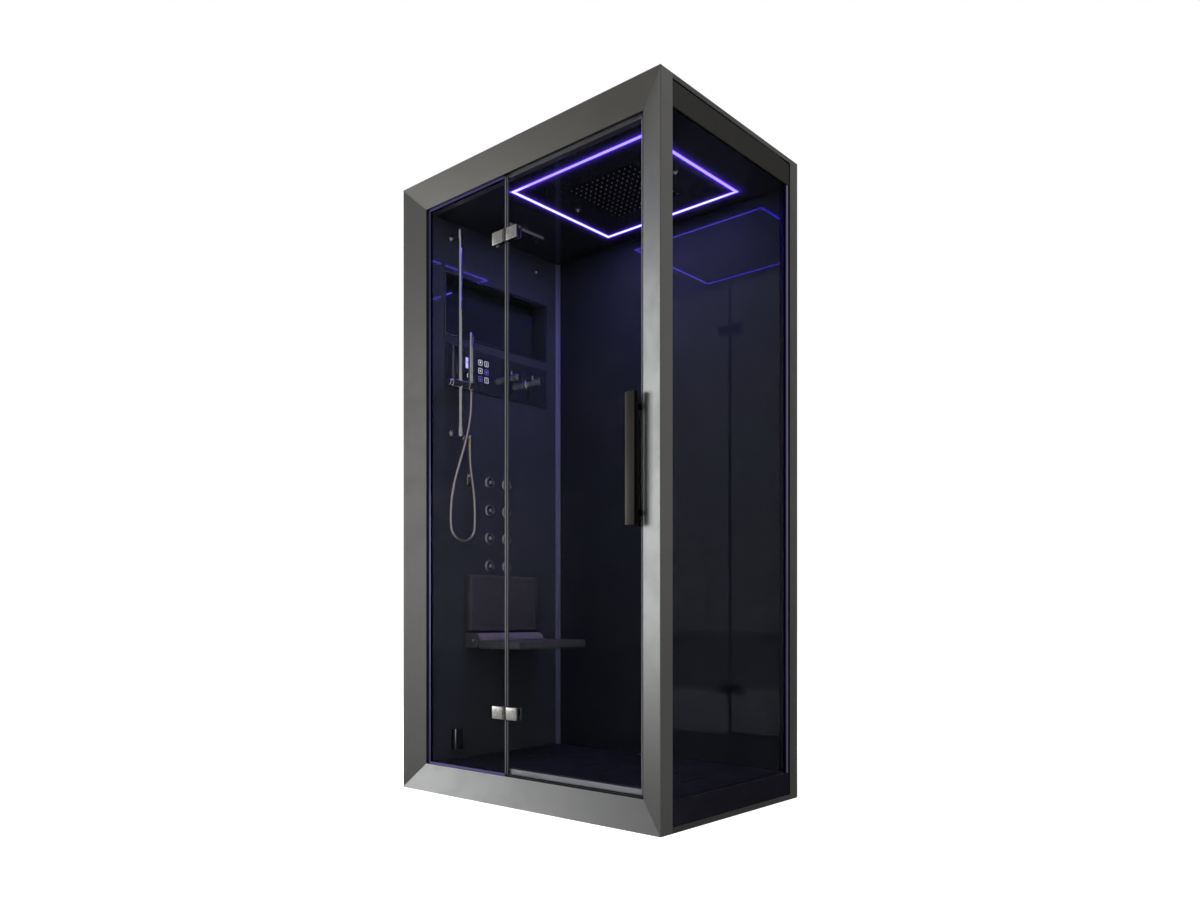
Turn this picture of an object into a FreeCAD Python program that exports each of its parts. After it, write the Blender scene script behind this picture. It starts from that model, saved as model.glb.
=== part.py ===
import FreeCAD, Part
import math
import os
import re
from types import SimpleNamespace

import Sketcher
from FreeCAD import Placement, Rotation, Vector

# Steam shower cabin, 1200 x 800 x 2230 mm, standing on the floor with its equipped wall at -X.
#
# X runs along the glazed front, Y into the cabin (the front is at -Y) and Z up. The origin is the
# middle of the footprint, on the floor. All sizes are millimetres.

doc = FreeCAD.newDocument("SteamShowerCabin")
sheet = doc.addObject("Spreadsheet::Sheet", "Sizes")

SIZES = [
    # cabin
    ("width", 1200, "outside width"),
    ("depth", 800, "outside depth"),
    ("height", 2230, "outside height"),
    # bevelled front frame
    ("face_side", 91.5, "width of the side members, seen from the front"),
    ("face_top", 85.4, "height of the top member"),
    ("face_low", 92.4, "height of the bottom member"),
    ("recess", 37, "how far the bevel falls back towards the glass"),
    ("frame_depth", 59, "depth of the members along the sides"),
    ("lip", 10, "depth of the inner return"),
    ("skin", 4, "wall of the extruded profiles"),
    ("edge_round", 3, "rounding of the outer upright edges"),
    ("back_plate", 3, "closing plate behind each member"),
    ("slot", 9, "glazing slot between side flange and closing plate"),
    # glass and boards
    ("glass", 8, "thickness of the glazing"),
    ("board", 6, "thickness of the black wall boards"),
    ("wall_in", 94, "equipped wall's face, in from the left side"),
    ("rear_in", 52, "rear wall's face, in from the back"),
    ("floor_z", 95, "top of the tray"),
    ("ceiling_in", 94, "underside of the ceiling, down from the top"),
    ("ceiling_board", 8, "thickness of the ceiling board"),
    ("angle_side", 15, "side of the corner angle"),
    ("angle_thick", 3, "thickness of the corner angle and the side glass channel"),
    ("channel_deep", 14.4, "depth of the side glass channel"),
    ("fit", 0.5, "clearance between pieces that lie side by side"),
    # rear and side structure
    ("post_wide", 40, "rear post, along the width"),
    ("post_deep", 51, "rear post, along the depth"),
    ("post_wall", 3, "wall of the rear posts"),
    ("rail_low", 18, "height of the base rails"),
    ("rail_top", 15, "height of the top rails"),
    ("rail_wide", 15, "thickness of the base and top rails"),
    ("brace_high", 40, "height of the rear braces"),
    ("brace_deep", 25, "depth of the rear braces"),
    ("anchor_radius", 4.5, "wall anchor holes in the rear posts"),
    ("anchor_low", 450, "height of the lower anchor holes"),
    ("anchor_rise", 1500, "distance between lower and upper anchor holes"),
    ("cladding", 3, "sheet of the outer end wall and the roof"),
    ("infill", 4, "thickness of the dark side fascia and apron"),
    ("joint_gap", 4, "shadow joint above the fascia"),
    ("foot_radius", 22, "levelling feet"),
    ("foot_high", 10, "height of a foot's pad"),
    ("stud_radius", 6, "levelling feet's studs"),
    # tray
    ("tray_low", 22, "underside of the tray"),
    ("tray_web", 62, "top of the hollow under the tray"),
    ("recess_floor", 73, "floor of the recess that holds the slotted cover"),
    ("cover_in_left", 135, "slotted cover, in from the left side"),
    ("cover_in_right", 41, "slotted cover, in from the right side"),
    ("cover_in_side", 116, "slotted cover, in from the front and the back"),
    ("cover_gap", 3, "groove round the cover"),
    ("cover_thick", 12, "thickness of the cover"),
    ("cover_pad", 10, "radius of the cover's pads"),
    ("pad_in", 42, "the cover's pads, in from its edges"),
    ("slot_long", 140, "length of a drain slot"),
    ("slot_wide", 9, "width of a drain slot"),
    ("slot_end_left", 101, "first drain slot, in from the cover's left edge"),
    ("slot_end_right", 125, "last drain slot, in from the cover's right edge"),
    ("slot_count", 8, "number of drain slots"),
    ("drain_x", 47, "drain, right of the middle"),
    ("drain_z", 39, "height of the outlet's axis"),
    ("trap_radius", 50, "body of the trap"),
    ("neck_radius", 40, "neck of the trap, through the tray"),
    ("outlet_radius", 20, "drain outlet spigot"),
    ("outlet_wall", 3, "wall of the outlet"),
    ("spigot", 48, "length of the outlet spigot"),
    # front glazing
    ("pivot_x", 90, "door pivot, left of the middle"),
    ("pivot_out", 6, "door pivot, in front of the glass face"),
    ("leaf_gap", 6, "glass edge to pivot, along the width"),
    ("strike_gap", 11.5, "door's free edge to the frame"),
    ("sill_gap", 3, "door's lower edge to the tray"),
    ("top_gap", 4.6, "door's upper edge to the frame"),
    ("channel", 14, "width of the upright glass channel"),
    ("channel_wall", 1.6, "wall of the glass channels"),
    ("jamb", 22, "width and height of the door stop profiles"),
    ("stop_in", 80, "rear face of the door stop profiles, in from the front"),
    ("glass_in", 64, "rear edge of the side glass, in from the back"),
    ("hinge_long", 120, "length of a hinge"),
    ("hinge_high", 43, "height of a hinge"),
    ("hinge_out", 12, "thickness of the outer hinge plates"),
    ("hinge_in", 8, "thickness of the inner hinge plates"),
    ("hinge_low", 307, "height of the lower hinge"),
    ("hinge_down", 293, "upper hinge, below the top"),
    ("knuckle", 8, "radius of the hinge barrel"),
    ("pin", 3, "radius of the hinge pins"),
    ("running", 0.05, "radial clearance of turning pieces"),
    ("barrel_gap", 0.5, "gap between turning and fixed hinge pieces"),
    # door handle
    ("handle_low", 910, "lower end of the handle"),
    ("handle_long", 400, "length of the handle"),
    ("handle_in", 14.5, "right edge of the outer bar, in from the frame"),
    ("handle_wide", 36, "width of the outer bar"),
    ("handle_deep", 19, "depth of the handle bars"),
    ("handle_gap", 16, "finger gap between bar and glass"),
    ("grip_wide", 26, "width of the inner bar"),
    ("fixing_side", 21, "handle fixings, in from the bar's right edge"),
    ("fixing_in", 40, "handle fixings, in from the handle's ends"),
    ("fixing_radius", 7, "radius of the handle fixings"),
    # ceiling
    ("rain_x", 143, "middle of the rain head and light loop"),
    ("loop_wide", 600, "light loop along the width"),
    ("loop_deep", 534, "light loop along the depth"),
    ("loop_line", 12, "width of the light line"),
    ("loop_thick", 3, "thickness of the diffuser"),
    ("rain_side", 292, "side of the square rain head"),
    ("rain_plate", 4, "thickness of the rain head's face"),
    ("rain_body", 16, "height of the rain head"),
    ("nozzle_rows", 12, "rows of nozzles, and nozzles in a row"),
    ("nozzle_pitch", 24, "distance between nozzles"),
    ("nozzle_radius", 3, "radius of a nozzle"),
    ("nozzle_drop", 2.5, "how far a nozzle stands out"),
    ("blade_out", 158, "blade outlet, out from the equipped wall"),
    ("blade_long", 184, "length of the blade outlet"),
    ("blade_wide", 12, "width of the blade outlet"),
    ("blade_drop", 8, "height of the blade outlet below the ceiling"),
    ("mist_reach", 220, "mist nozzles, from the middle of the rain head"),
    ("mist_radius", 11, "radius of a mist nozzle"),
    # equipped wall
    ("niche_half", 271.5, "half the width of the niche and of the control panel"),
    ("niche_low", 1710, "bottom of the niche"),
    ("niche_high", 231, "height of the niche"),
    ("niche_deep", 80, "depth of the niche"),
    ("niche_wall", 3, "wall of the niche liner"),
    ("panel_low", 1512, "bottom of the control panel"),
    ("panel_high", 159, "height of the control panel"),
    ("panel_thick", 4, "thickness of the control panel"),
    ("inlay", 0.8, "thickness of display and keys"),
    ("display_y", 160, "middle of the display, in front of the middle"),
    ("display_wide", 31, "width of the display"),
    ("display_low", 1595, "bottom of the display"),
    ("display_high", 41, "height of the display"),
    ("key", 22, "side of a touch key"),
    ("key_y", 100, "first column of touch keys, in front of the middle"),
    ("key_step", 32, "distance between touch keys"),
    ("key_low", 1555, "bottom of the lowest touch keys"),
    ("power_wide", 13, "width of the power key"),
    ("power_high", 17, "height of the power key"),
    ("power_low", 1560, "bottom of the power key"),
    ("knob_z", 1594, "height of the mixer knobs"),
    ("knob_one_y", 52, "temperature knob, behind the middle"),
    ("knob_two_y", 163, "diverter knob, behind the middle"),
    ("knob_radius", 14, "radius of the mixer knobs"),
    ("knob_one_out", 68, "length of the temperature knob"),
    ("knob_two_out", 82, "length of the diverter knob"),
    ("rosette", 22, "radius of the knobs' base rings"),
    ("rosette_thick", 6, "thickness of the base rings"),
    ("spindle", 6, "radius of the mixer spindles"),
    ("spindle_out", 26, "how far a spindle enters its knob"),
    ("lever_radius", 3, "radius of a knob's lever pin"),
    ("lever_long", 13, "length of a knob's lever pin"),
    # hand shower
    ("rail_y", 241, "slide rail, in front of the middle"),
    ("rail_out", 50, "slide rail, out from the wall"),
    ("rail_radius", 8, "radius of the slide rail"),
    ("rail_bottom", 1352, "lower end of the slide rail"),
    ("rail_long", 703, "length of the slide rail"),
    ("bracket_radius", 11, "radius of the rail ends"),
    ("bracket_high", 38, "height of the rail ends"),
    ("arm_radius", 7, "radius of the arms to the wall"),
    ("holder_z", 1512, "height of the holder"),
    ("holder_radius", 15, "radius of the holder"),
    ("holder_left", 287.5, "left end of the slider, in front of the middle"),
    ("holder_split", 207, "end of the slider, in front of the middle"),
    ("cradle_right", 166, "right end of the cradle, in front of the middle"),
    ("lock_long", 11.5, "length of the lock knob"),
    ("shower_y", 188, "hand shower, in front of the middle"),
    ("shower_radius", 11, "radius of the hand shower"),
    ("shower_long", 221, "length of the hand shower"),
    ("shower_low", 1497, "lower end of the hand shower"),
    ("shower_bore", 9.9, "radius of the hand shower's lower socket"),
    ("socket_deep", 18, "depth of the hand shower's lower socket"),
    ("hose_radius", 5.5, "radius of the hose"),
    ("hose_in", 11, "how far the hose enters the hand shower"),
    ("elbow_y", 176, "hose elbow, in front of the middle"),
    ("elbow_z", 1326, "height of the hose elbow"),
    ("elbow_out", 28, "hose elbow's outlet, out from the wall"),
    ("elbow_radius", 9, "radius of the elbow"),
    ("nut_low", 1287, "lower end of the elbow's nut"),
    ("nut_radius", 7.5, "radius of the elbow's nut"),
    ("hook_y", 161, "wall hook, in front of the middle"),
    ("hook_z", 1143, "bottom of the wall hook"),
    ("hook_wide", 22, "width of the wall hook"),
    ("hook_high", 47, "height of the wall hook"),
    ("hook_out", 18, "how far the wall hook stands out"),
    # body jets
    ("jet_y", 46, "jet columns, either side of the middle"),
    ("jet_low", 836.5, "height of the lowest jets"),
    ("jet_pitch", 110, "distance between rows of jets"),
    ("jet_rows", 4, "rows of jets"),
    ("jet_flange", 26, "radius of a jet's flange"),
    ("jet_bore", 14, "radius of the opening in a jet's flange"),
    ("jet_neck", 16, "radius of a jet's neck, through the wall"),
    ("jet_out", 6, "how far a jet's flange stands out"),
    # seat
    ("seat_half", 184, "half the width of the seat"),
    ("seat_y", 11, "middle of the seat, behind the middle"),
    ("seat_axis_out", 44, "seat pivot, out from the wall"),
    ("seat_axis_z", 546, "height of the seat pivot"),
    ("roll_radius", 27.5, "radius of the seat's rear roll"),
    ("ear_radius", 28, "radius of the bracket's ears"),
    ("ear", 10, "thickness of the bracket's ears"),
    ("slab_low", 515, "underside of the seat"),
    ("slab_thick", 32, "thickness of the seat"),
    ("slab_front", 294, "front of the seat, out from the wall"),
    ("slab_gap", 28.5, "rear edge of the slab to the pivot"),
    ("slab_round", 6, "rounding of the seat's front edges"),
    ("bracket_plate", 12, "thickness of the seat's wall plate"),
    ("seat_pin", 6, "radius of the seat's pin"),
    ("back_low", 580, "lower edge of the backrest"),
    ("back_high", 218, "height of the backrest"),
    ("back_thick", 30, "thickness of the backrest"),
    # steam and services
    ("steam_y", 224, "steam outlet, in front of the middle"),
    ("steam_z", 172, "height of the steam outlet"),
    ("steam_half_wide", 20, "half the width of the steam outlet"),
    ("steam_half_high", 40, "half the height of the steam outlet"),
    ("steam_out", 24, "how far the steam outlet stands out"),
    ("sensor_y", 216, "temperature sensor, behind the middle"),
    ("sensor_z", 2073, "height of the temperature sensor"),
    ("sensor_radius", 8, "radius of the temperature sensor"),
    ("service_in", 55, "pipes in the service space, in from the left side"),
    ("pipe", 8, "radius of the water pipes"),
    ("steam_pipe", 10, "radius of the steam pipe"),
    ("inlet_radius", 10.48, "radius of the water inlets, half inch thread"),
    ("inlet_long", 38, "length of a water inlet"),
    ("inlet_in", 64, "water inlets, in from the left side"),
    ("inlet_z", 1100, "height of the cold inlet"),
    ("inlet_drop", 100, "hot inlet below the cold one"),
    ("tank_in", 100, "steam generator and power box, in from the back"),
    ("tank_wide", 270, "width of the steam generator"),
    ("tank_up", 35, "steam generator above the tray"),
    ("tank_high", 430, "height of the steam generator"),
    ("tank_gap", 8, "steam generator to the wall board"),
    ("box_wide", 170, "width of the power box"),
    ("box_low", 700, "bottom of the power box"),
    ("box_high", 260, "height of the power box"),
    ("mixer_side", 32, "mixer body past its spindles"),
    ("mixer_up", 20, "mixer body above its spindles"),
    ("mixer_down", 24, "mixer body below its spindles"),
    ("mixer_back", 24, "mixer body behind its pipe axis"),
    ("port_up", 6, "cold port above the spindles"),
    ("port_down", 12, "hot port below the spindles"),
    ("hot_shift", 24, "hot riser beside the cold one"),
    ("pipe_step", 14, "risers in front of the rear wall's face"),
    ("rain_back", 48, "rain riser in front of the rear wall's face"),
    ("rain_turn", 46, "first bend of the rain pipe above the mixer"),
    ("roof_run", 36, "pipe above the ceiling"),
    ("neck_high", 12, "height of the rain head's neck"),
    ("tee", 5, "radius of the jets' branches"),
    ("jet_neck_long", 24, "length of a jet's neck behind the wall's face"),
    ("jet_plug_long", 20, "length of a jet's face behind the wall's face"),
    ("jet_nose", 5, "how far a jet's nose stands out of its opening"),
    ("duct_up", 155, "steam pipe above the tray"),
]
for row, (name, value, note) in enumerate(SIZES, start=1):
    sheet.set(f"A{row}", name)
    sheet.set(f"B{row}", str(value))
    sheet.set(f"C{row}", note)
    sheet.setAlias(f"B{row}", name)
doc.recompute()

NAMES = {name for name, value, note in SIZES}
S = SimpleNamespace(**{name: float(sheet.get(name)) for name in NAMES})
TURNED = {
    "X": Rotation(Vector(0, 1, 0), 90),
    "Y": Rotation(Vector(1, 0, 0), -90),
    "Z": Rotation(),
}
nodes = {}


def bind(text):
    """An expression with each named size pointed at the sheet."""
    return re.sub(r"[a-z][a-z_0-9]*", lambda word: point_at_sheet(word.group()), str(text))


def point_at_sheet(word):
    """Sizes.word for a named size, and the word itself for a function such as sqrt."""
    return "Sizes." + word if word in NAMES else word


def fresh(kind, name):
    """A new object of the document."""
    return doc.addObject(kind, name)


def put(item, x, y, z):
    """Binds where an object sits."""
    for letter, text in zip("xyz", (x, y, z)):
        item.setExpression("Placement.Base." + letter, bind(text))


def block(name, x, y, z):
    """A box between two corners. x, y and z are pairs of expressions."""
    item = fresh("Part::Box", name)
    for side, (low, high) in zip(("Length", "Width", "Height"), (x, y, z)):
        item.setExpression(side, bind(f"({high}) - ({low})"))
    put(item, x[0], y[0], z[0])
    return item


def rod(name, axis, start, long, radius):
    """A cylinder that leaves the point start along an axis."""
    item = fresh("Part::Cylinder", name)
    item.Placement = Placement(Vector(), TURNED[axis])
    item.setExpression("Height", bind(long))
    item.setExpression("Radius", bind(radius))
    put(item, *start)
    return item


def taper(name, axis, start, long, first, last):
    """A cone that leaves the point start along an axis, from the first radius to the last."""
    item = fresh("Part::Cone", name)
    item.Placement = Placement(Vector(), TURNED[axis])
    item.setExpression("Height", bind(long))
    item.setExpression("Radius1", bind(first))
    item.setExpression("Radius2", bind(last))
    put(item, *start)
    return item


def ball(name, centre, radius):
    """A sphere."""
    item = fresh("Part::Sphere", name)
    item.setExpression("Radius", bind(radius))
    put(item, *centre)
    return item


def group(name, items):
    """Separate solids kept as one object."""
    item = fresh("Part::Compound", name)
    item.Links = list(items)
    return item


def join(name, *items):
    """Solids fused into one."""
    item = fresh("Part::MultiFuse", name)
    item.Shapes = list(items)
    item.Refine = True
    return item


def cut(name, base, *tools):
    """The base without its tools, which are clear of each other."""
    item = fresh("Part::Cut", name)
    item.Base = base
    item.Tool = tools[0] if len(tools) == 1 else group(name + "_tools", tools)
    return item


def node(name, *items):
    """Names a sub-part: one object, or a group of separate solids."""
    item = items[0] if len(items) == 1 else group(name, items)
    item.Label = name
    nodes[name] = item
    return item


def origin_plane(body, role):
    """One of a body's own origin planes."""
    return next(item for item in body.Origin.OriginFeatures if item.Role == role)


def drawing_on(body, role, offset=None):
    """A sketch on one of the body's origin planes, moved along the plane's normal by offset."""
    drawing = body.newObject("Sketcher::SketchObject", body.Name + "_sketch")
    drawing.AttachmentSupport = [(origin_plane(body, role), "")]
    drawing.MapMode = "FlatFace"
    if offset is not None:
        drawing.setExpression("AttachmentOffset.Base.z", bind(offset))
    return drawing


def pin_point(drawing, line, end, start, texts):
    """Ties the end of a line to its place, given as a pair of expressions."""
    for kind, value, text in zip(("DistanceX", "DistanceY"), start, texts):
        number = drawing.addConstraint(Sketcher.Constraint(kind, line, end, value))
        drawing.setExpression(f"Constraints[{number}]", bind(text))


def outline(drawing, points):
    """A closed outline through points, each a pair of expressions."""
    count = len(points)
    first = drawing.GeometryCount
    ring = [2 * math.pi * k / count for k in range(count)]
    rough = [Vector(100 * math.cos(angle), 100 * math.sin(angle), 0) for angle in ring]
    for k in range(count):
        drawing.addGeometry(Part.LineSegment(rough[k], rough[(k + 1) % count]), False)
    for k in range(count):
        following = first + (k + 1) % count
        drawing.addConstraint(Sketcher.Constraint("Coincident", first + k, 2, following, 1))
    for k in range(count):
        pin_point(drawing, first + k, 1, (rough[k].x, rough[k].y), points[k])


def pad(body, drawing, length, symmetric=False):
    """Extrudes a sketch along its normal."""
    item = body.newObject("PartDesign::Pad", body.Name + "_pad")
    item.Profile = drawing
    item.setExpression("Length", bind(length))
    if symmetric:
        item.SideType = "Symmetric"
    return item


def pocket_through(body, drawing):
    """Cuts a sketch through the whole body, both ways."""
    item = body.newObject("PartDesign::Pocket", body.Name + "_pocket")
    item.Profile = drawing
    item.Type = "ThroughAll"
    item.SideType = "Symmetric"
    return item


def round_edges(body, base, radius, wanted):
    """Rounds the edges of a feature that wanted picks by their middle point and direction."""
    doc.recompute()
    names = []
    for number, edge in enumerate(base.Shape.Edges, start=1):
        middle = edge.CenterOfMass
        along = edge.tangentAt(edge.FirstParameter)
        if wanted(middle, along):
            names.append(f"Edge{number}")
    item = body.newObject("PartDesign::Fillet", body.Name + "_round")
    item.Base = (base, names)
    item.setExpression("Radius", bind(radius))
    body.Tip = item
    return item


def turned(name, axis_role, plane_role, points):
    """A body of revolution. The outline's first number runs along the axis."""
    body = fresh("PartDesign::Body", name)
    drawing = drawing_on(body, plane_role)
    outline(drawing, points)
    item = body.newObject("PartDesign::Revolution", name + "_turn")
    item.Profile = drawing
    item.ReferenceAxis = (origin_plane(body, axis_role), [""])
    item.Angle = 360
    return body


# Places that many pieces share.
FRONT = "-depth / 2"
REAR = "depth / 2"
LEFT = "-width / 2"
RIGHT = "width / 2"
INNER_X = "width / 2 - face_side"
INNER_TOP = "height - face_top"
FRAME_BACK = "-depth / 2 + frame_depth"
EDGE_Y = "-depth / 2 + recess"
GLASS_FRONT = "-depth / 2 + recess + lip"
GLASS_BACK = GLASS_FRONT + " + glass"
WALL = "-width / 2 + wall_in"
REAR_WALL = "depth / 2 - rear_in"
CEILING = "height - ceiling_in"
STOP_BACK = "-depth / 2 + stop_in"
SERVICE = "-width / 2 + service_in"
PIVOT_Y = GLASS_FRONT + " - pivot_out"
DOOR_LOW = "floor_z + sill_gap"
BLADE_X = WALL + " + blade_out"
DOOR_TOP = "height - face_top - top_gap"
DOOR_RIGHT = "width / 2 - face_side - strike_gap"
GLASS_REAR = "depth / 2 - glass_in"
COVER_LEFT = "-width / 2 + cover_in_left"
COVER_RIGHT = "width / 2 - cover_in_right"
COVER_SIDE = "(depth / 2 - cover_in_side)"
HANDLE_RIGHT = "width / 2 - face_side - handle_in"


# ---------------------------------------------------------------- front frame
def member_outline(face, across):
    """Section of a frame member: outer flange, sloping face and inner return, open at the back."""
    slope = f"recess / {face}"
    inside = f"skin * sqrt(1 + ({slope})^2)"
    near = f"skin * {slope} + {inside} - depth / 2"
    far = f"({face} - skin) * {slope} + {inside} - depth / 2"
    return [
        (across("0"), FRONT),
        (across(face), EDGE_Y),
        (across(face), GLASS_FRONT),
        (across(f"{face} - skin"), GLASS_FRONT),
        (across(f"{face} - skin"), far),
        (across("skin"), near),
        (across("skin"), FRAME_BACK),
        (across("0"), FRAME_BACK),
    ]


def mitre(body, corners):
    """Cuts a member's end along the line from the frame's outer to its inner corner."""
    drawing = drawing_on(body, "XZ_Plane")
    outline(drawing, corners)
    return pocket_through(body, drawing)


def upright(name, sign):
    """A side member, from the floor to the top, mitred at both ends."""
    body = fresh("PartDesign::Body", name)
    drawing = drawing_on(body, "XY_Plane")
    outline(drawing, member_outline("face_side", lambda text: f"{sign} * (width / 2 - ({text}))"))
    solid = pad(body, drawing, "height")
    edge = Vector(float(sign) * S.width / 2, -S.depth / 2, S.height / 2)
    round_edges(body, solid, "edge_round", lambda middle, along: middle.distanceToPoint(edge) < 1)
    outer, inner = f"{sign} * width / 2", f"{sign} * (width / 2 - face_side)"
    past = f"{sign} * (width / 2 - face_side - skin)"
    mitre(body, [(outer, "0"), (inner, "face_low"), (past, "face_low"), (past, "-skin"), (outer, "-skin")])
    top = [
        (outer, "height"),
        (inner, INNER_TOP),
        (past, INNER_TOP),
        (past, "height + skin"),
        (outer, "height + skin"),
    ]
    mitre(body, top)
    node(name, body)


def crossbar(name, face, across, outer, inner, past):
    """The top or bottom member, mitred at both ends."""
    body = fresh("PartDesign::Body", name)
    drawing = drawing_on(body, "YZ_Plane")
    points = [(y, z) for z, y in member_outline(face, across)]
    outline(drawing, points)
    pad(body, drawing, "width", symmetric=True)
    for sign in ("-1", "1"):
        corner, mouth = f"{sign} * width / 2", f"{sign} * (width / 2 - face_side)"
        beyond = f"{sign} * (width / 2 + skin)"
        mitre(body, [(corner, outer), (mouth, inner), (mouth, past), (beyond, past), (beyond, outer)])
    node(name, body)


def front_frame():
    """Four bevelled aluminium members, mitred like a picture frame, and their closing plates."""
    upright("front_frame_left", "-1")
    upright("front_frame_right", "1")
    top_past = INNER_TOP + " - skin"
    crossbar("front_frame_top", "face_top", lambda t: f"height - ({t})", "height", INNER_TOP, top_past)
    crossbar("front_frame_bottom", "face_low", lambda t: f"{t}", "0", "face_low", "face_low + skin")
    y = (FRAME_BACK + " - back_plate", FRAME_BACK)
    inner = INNER_X + " + skin"
    outer = "width / 2 - skin - slot"
    full = ("skin", "height - skin")
    node(
        "frame_back_plates",
        block("plate_right", (inner, outer), y, full),
        block("plate_left", (f"-({outer})", f"-({inner})"), y, full),
        block("plate_top", (f"-({inner})", inner), y, (INNER_TOP + " + skin", "height - skin")),
        block("plate_low", (f"-({inner})", inner), y, ("skin", "face_low - skin")),
    )


# ---------------------------------------------------------------- rear and side structure
def post(name, low, high):
    """A rear post: a square tube with a wall anchor hole at two heights."""
    y = (REAR + " - post_deep", REAR)
    z = ("rail_low", "height - rail_top")
    outside = block(name + "_tube", (low, high), y, z)
    hollow = block(
        name + "_bore",
        (f"{low} + post_wall", f"{high} - post_wall"),
        (REAR + " - post_deep + post_wall", REAR + " - post_wall"),
        ("rail_low - 1", "height - rail_top + 1"),
    )
    tube = cut(name + "_hollow", outside, hollow)
    start = (f"{low} + post_wide / 2", REAR + " - post_deep - 1")
    holes = [
        rod(f"{name}_anchor_{level}", "Y", (*start, height), "post_deep + 2", "anchor_radius")
        for level, height in (("low", "anchor_low"), ("top", "anchor_low + anchor_rise"))
    ]
    return cut(name, tube, *holes)


def rails(name, low, high):
    """Side and rear rails at one height."""
    z = (low, high)
    along = (FRAME_BACK, REAR)
    return [
        block(name + "_right", (RIGHT + " - rail_wide", RIGHT), along, z),
        block(name + "_left", (LEFT, LEFT + " + rail_wide"), along, z),
        block(
            name + "_rear", (LEFT + " + rail_wide", RIGHT + " - rail_wide"), (REAR + " - rail_wide", REAR), z
        ),
    ]


def foot(name, x, y):
    """A levelling foot: a pad on the floor and a stud up into the tray."""
    pad_disc = rod(name + "_pad", "Z", (x, y, "0"), "foot_high", "foot_radius")
    stud = rod(name + "_stud", "Z", (x, y, "foot_high"), "tray_low - foot_high", "stud_radius")
    return join(name, pad_disc, stud)


def structure():
    """Rear posts and braces, base and top rails, end cladding, roof, side infills and feet."""
    brace_y = (REAR_WALL + " + board", REAR_WALL + " + board + brace_deep")
    brace_x = (LEFT + " + post_wide", RIGHT + " - post_wide")
    braces = [
        block(f"brace_{k}", brace_x, brace_y, (f"{z} - brace_high / 2", f"{z} + brace_high / 2"))
        for k, z in enumerate(("300", "900", "1500", "2100"))
    ]
    left_post = post("post_left", LEFT, LEFT + " + post_wide")
    right_post = post("post_right", RIGHT + " - post_wide", RIGHT)
    node("rear_frame", left_post, right_post, *braces)
    low = rails("base_rail", "0", "rail_low")
    top = rails("top_rail", "height - rail_top", "height")
    node("side_rails", *low, *top)
    outside = LEFT + " + skin"
    cladding_y = (FRAME_BACK + " - slot", REAR + " - post_deep")
    inside_rails = ("rail_low", "height - rail_top")
    node("left_cladding", block("left_sheet", (outside, outside + " + cladding"), cladding_y, inside_rails))
    roof_x = (LEFT + " + rail_wide", RIGHT + " - rail_wide")
    roof_z = ("height - rail_top + cladding", "height - rail_top + 2 * cladding")
    node("roof_cover", block("roof_sheet", roof_x, (FRAME_BACK, REAR + " - rail_wide"), roof_z))
    infill_x = (RIGHT + " - 2 - infill", RIGHT + " - 2")
    infill_y = (FRAME_BACK + " + 1", REAR_WALL + " - 3")
    node(
        "side_infills",
        block("fascia", infill_x, infill_y, (CEILING + " + 1", "height - rail_top - joint_gap")),
        block("apron", infill_x, infill_y, ("rail_low", "floor_z - 2")),
    )
    across, along = ("-width * 0.42", "0", "width * 0.42"), ("-depth * 0.39", "depth * 0.45")
    places = [(x, y) for x in across for y in along]
    node("levelling_feet", *[foot(f"foot_{k}", x, y) for k, (x, y) in enumerate(places)])


# ---------------------------------------------------------------- tray and drain
def tray():
    """A cast tray with a recess, hollow underneath, a drain hole and a passage for the outlet."""
    base = block(
        "tray_block",
        (LEFT + " + skin + cladding + 1", RIGHT + " - infill - 2.5"),
        (FRAME_BACK + " + 1", REAR + " - rail_wide - 1"),
        ("tray_low", "floor_z"),
    )
    recess = block(
        "tray_recess",
        (COVER_LEFT + " - cover_gap", COVER_RIGHT + " + cover_gap"),
        ("-" + COVER_SIDE + " - cover_gap", COVER_SIDE + " + cover_gap"),
        ("recess_floor", "floor_z + 1"),
    )
    hollow = block(
        "tray_hollow",
        (LEFT + " + 40", RIGHT + " - 40"),
        ("-depth / 2 + 90", "depth / 2 - 60"),
        ("tray_low - 1", "tray_web"),
    )
    rear_y = (REAR + " - post_deep - 1", REAR)
    notches = [
        block("notch_right", (RIGHT + " - post_wide - 1", RIGHT), rear_y, ("0", "floor_z + 1")),
        block("notch_left", (LEFT, LEFT + " + post_wide + 1"), rear_y, ("0", "floor_z + 1")),
    ]
    shell = cut("tray_shell", base, recess, hollow, *notches)
    drain = rod(
        "tray_drain", "Z", ("drain_x", "0", "tray_web - 1"), "recess_floor - tray_web + 2",
        "neck_radius + fit",
    )
    passage = rod(
        "tray_passage", "Y", ("drain_x", "depth / 2 - 61", "drain_z"), "60", "outlet_radius + 2 + fit"
    )
    node("shower_tray", cut("tray", shell, drain, passage))


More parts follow.
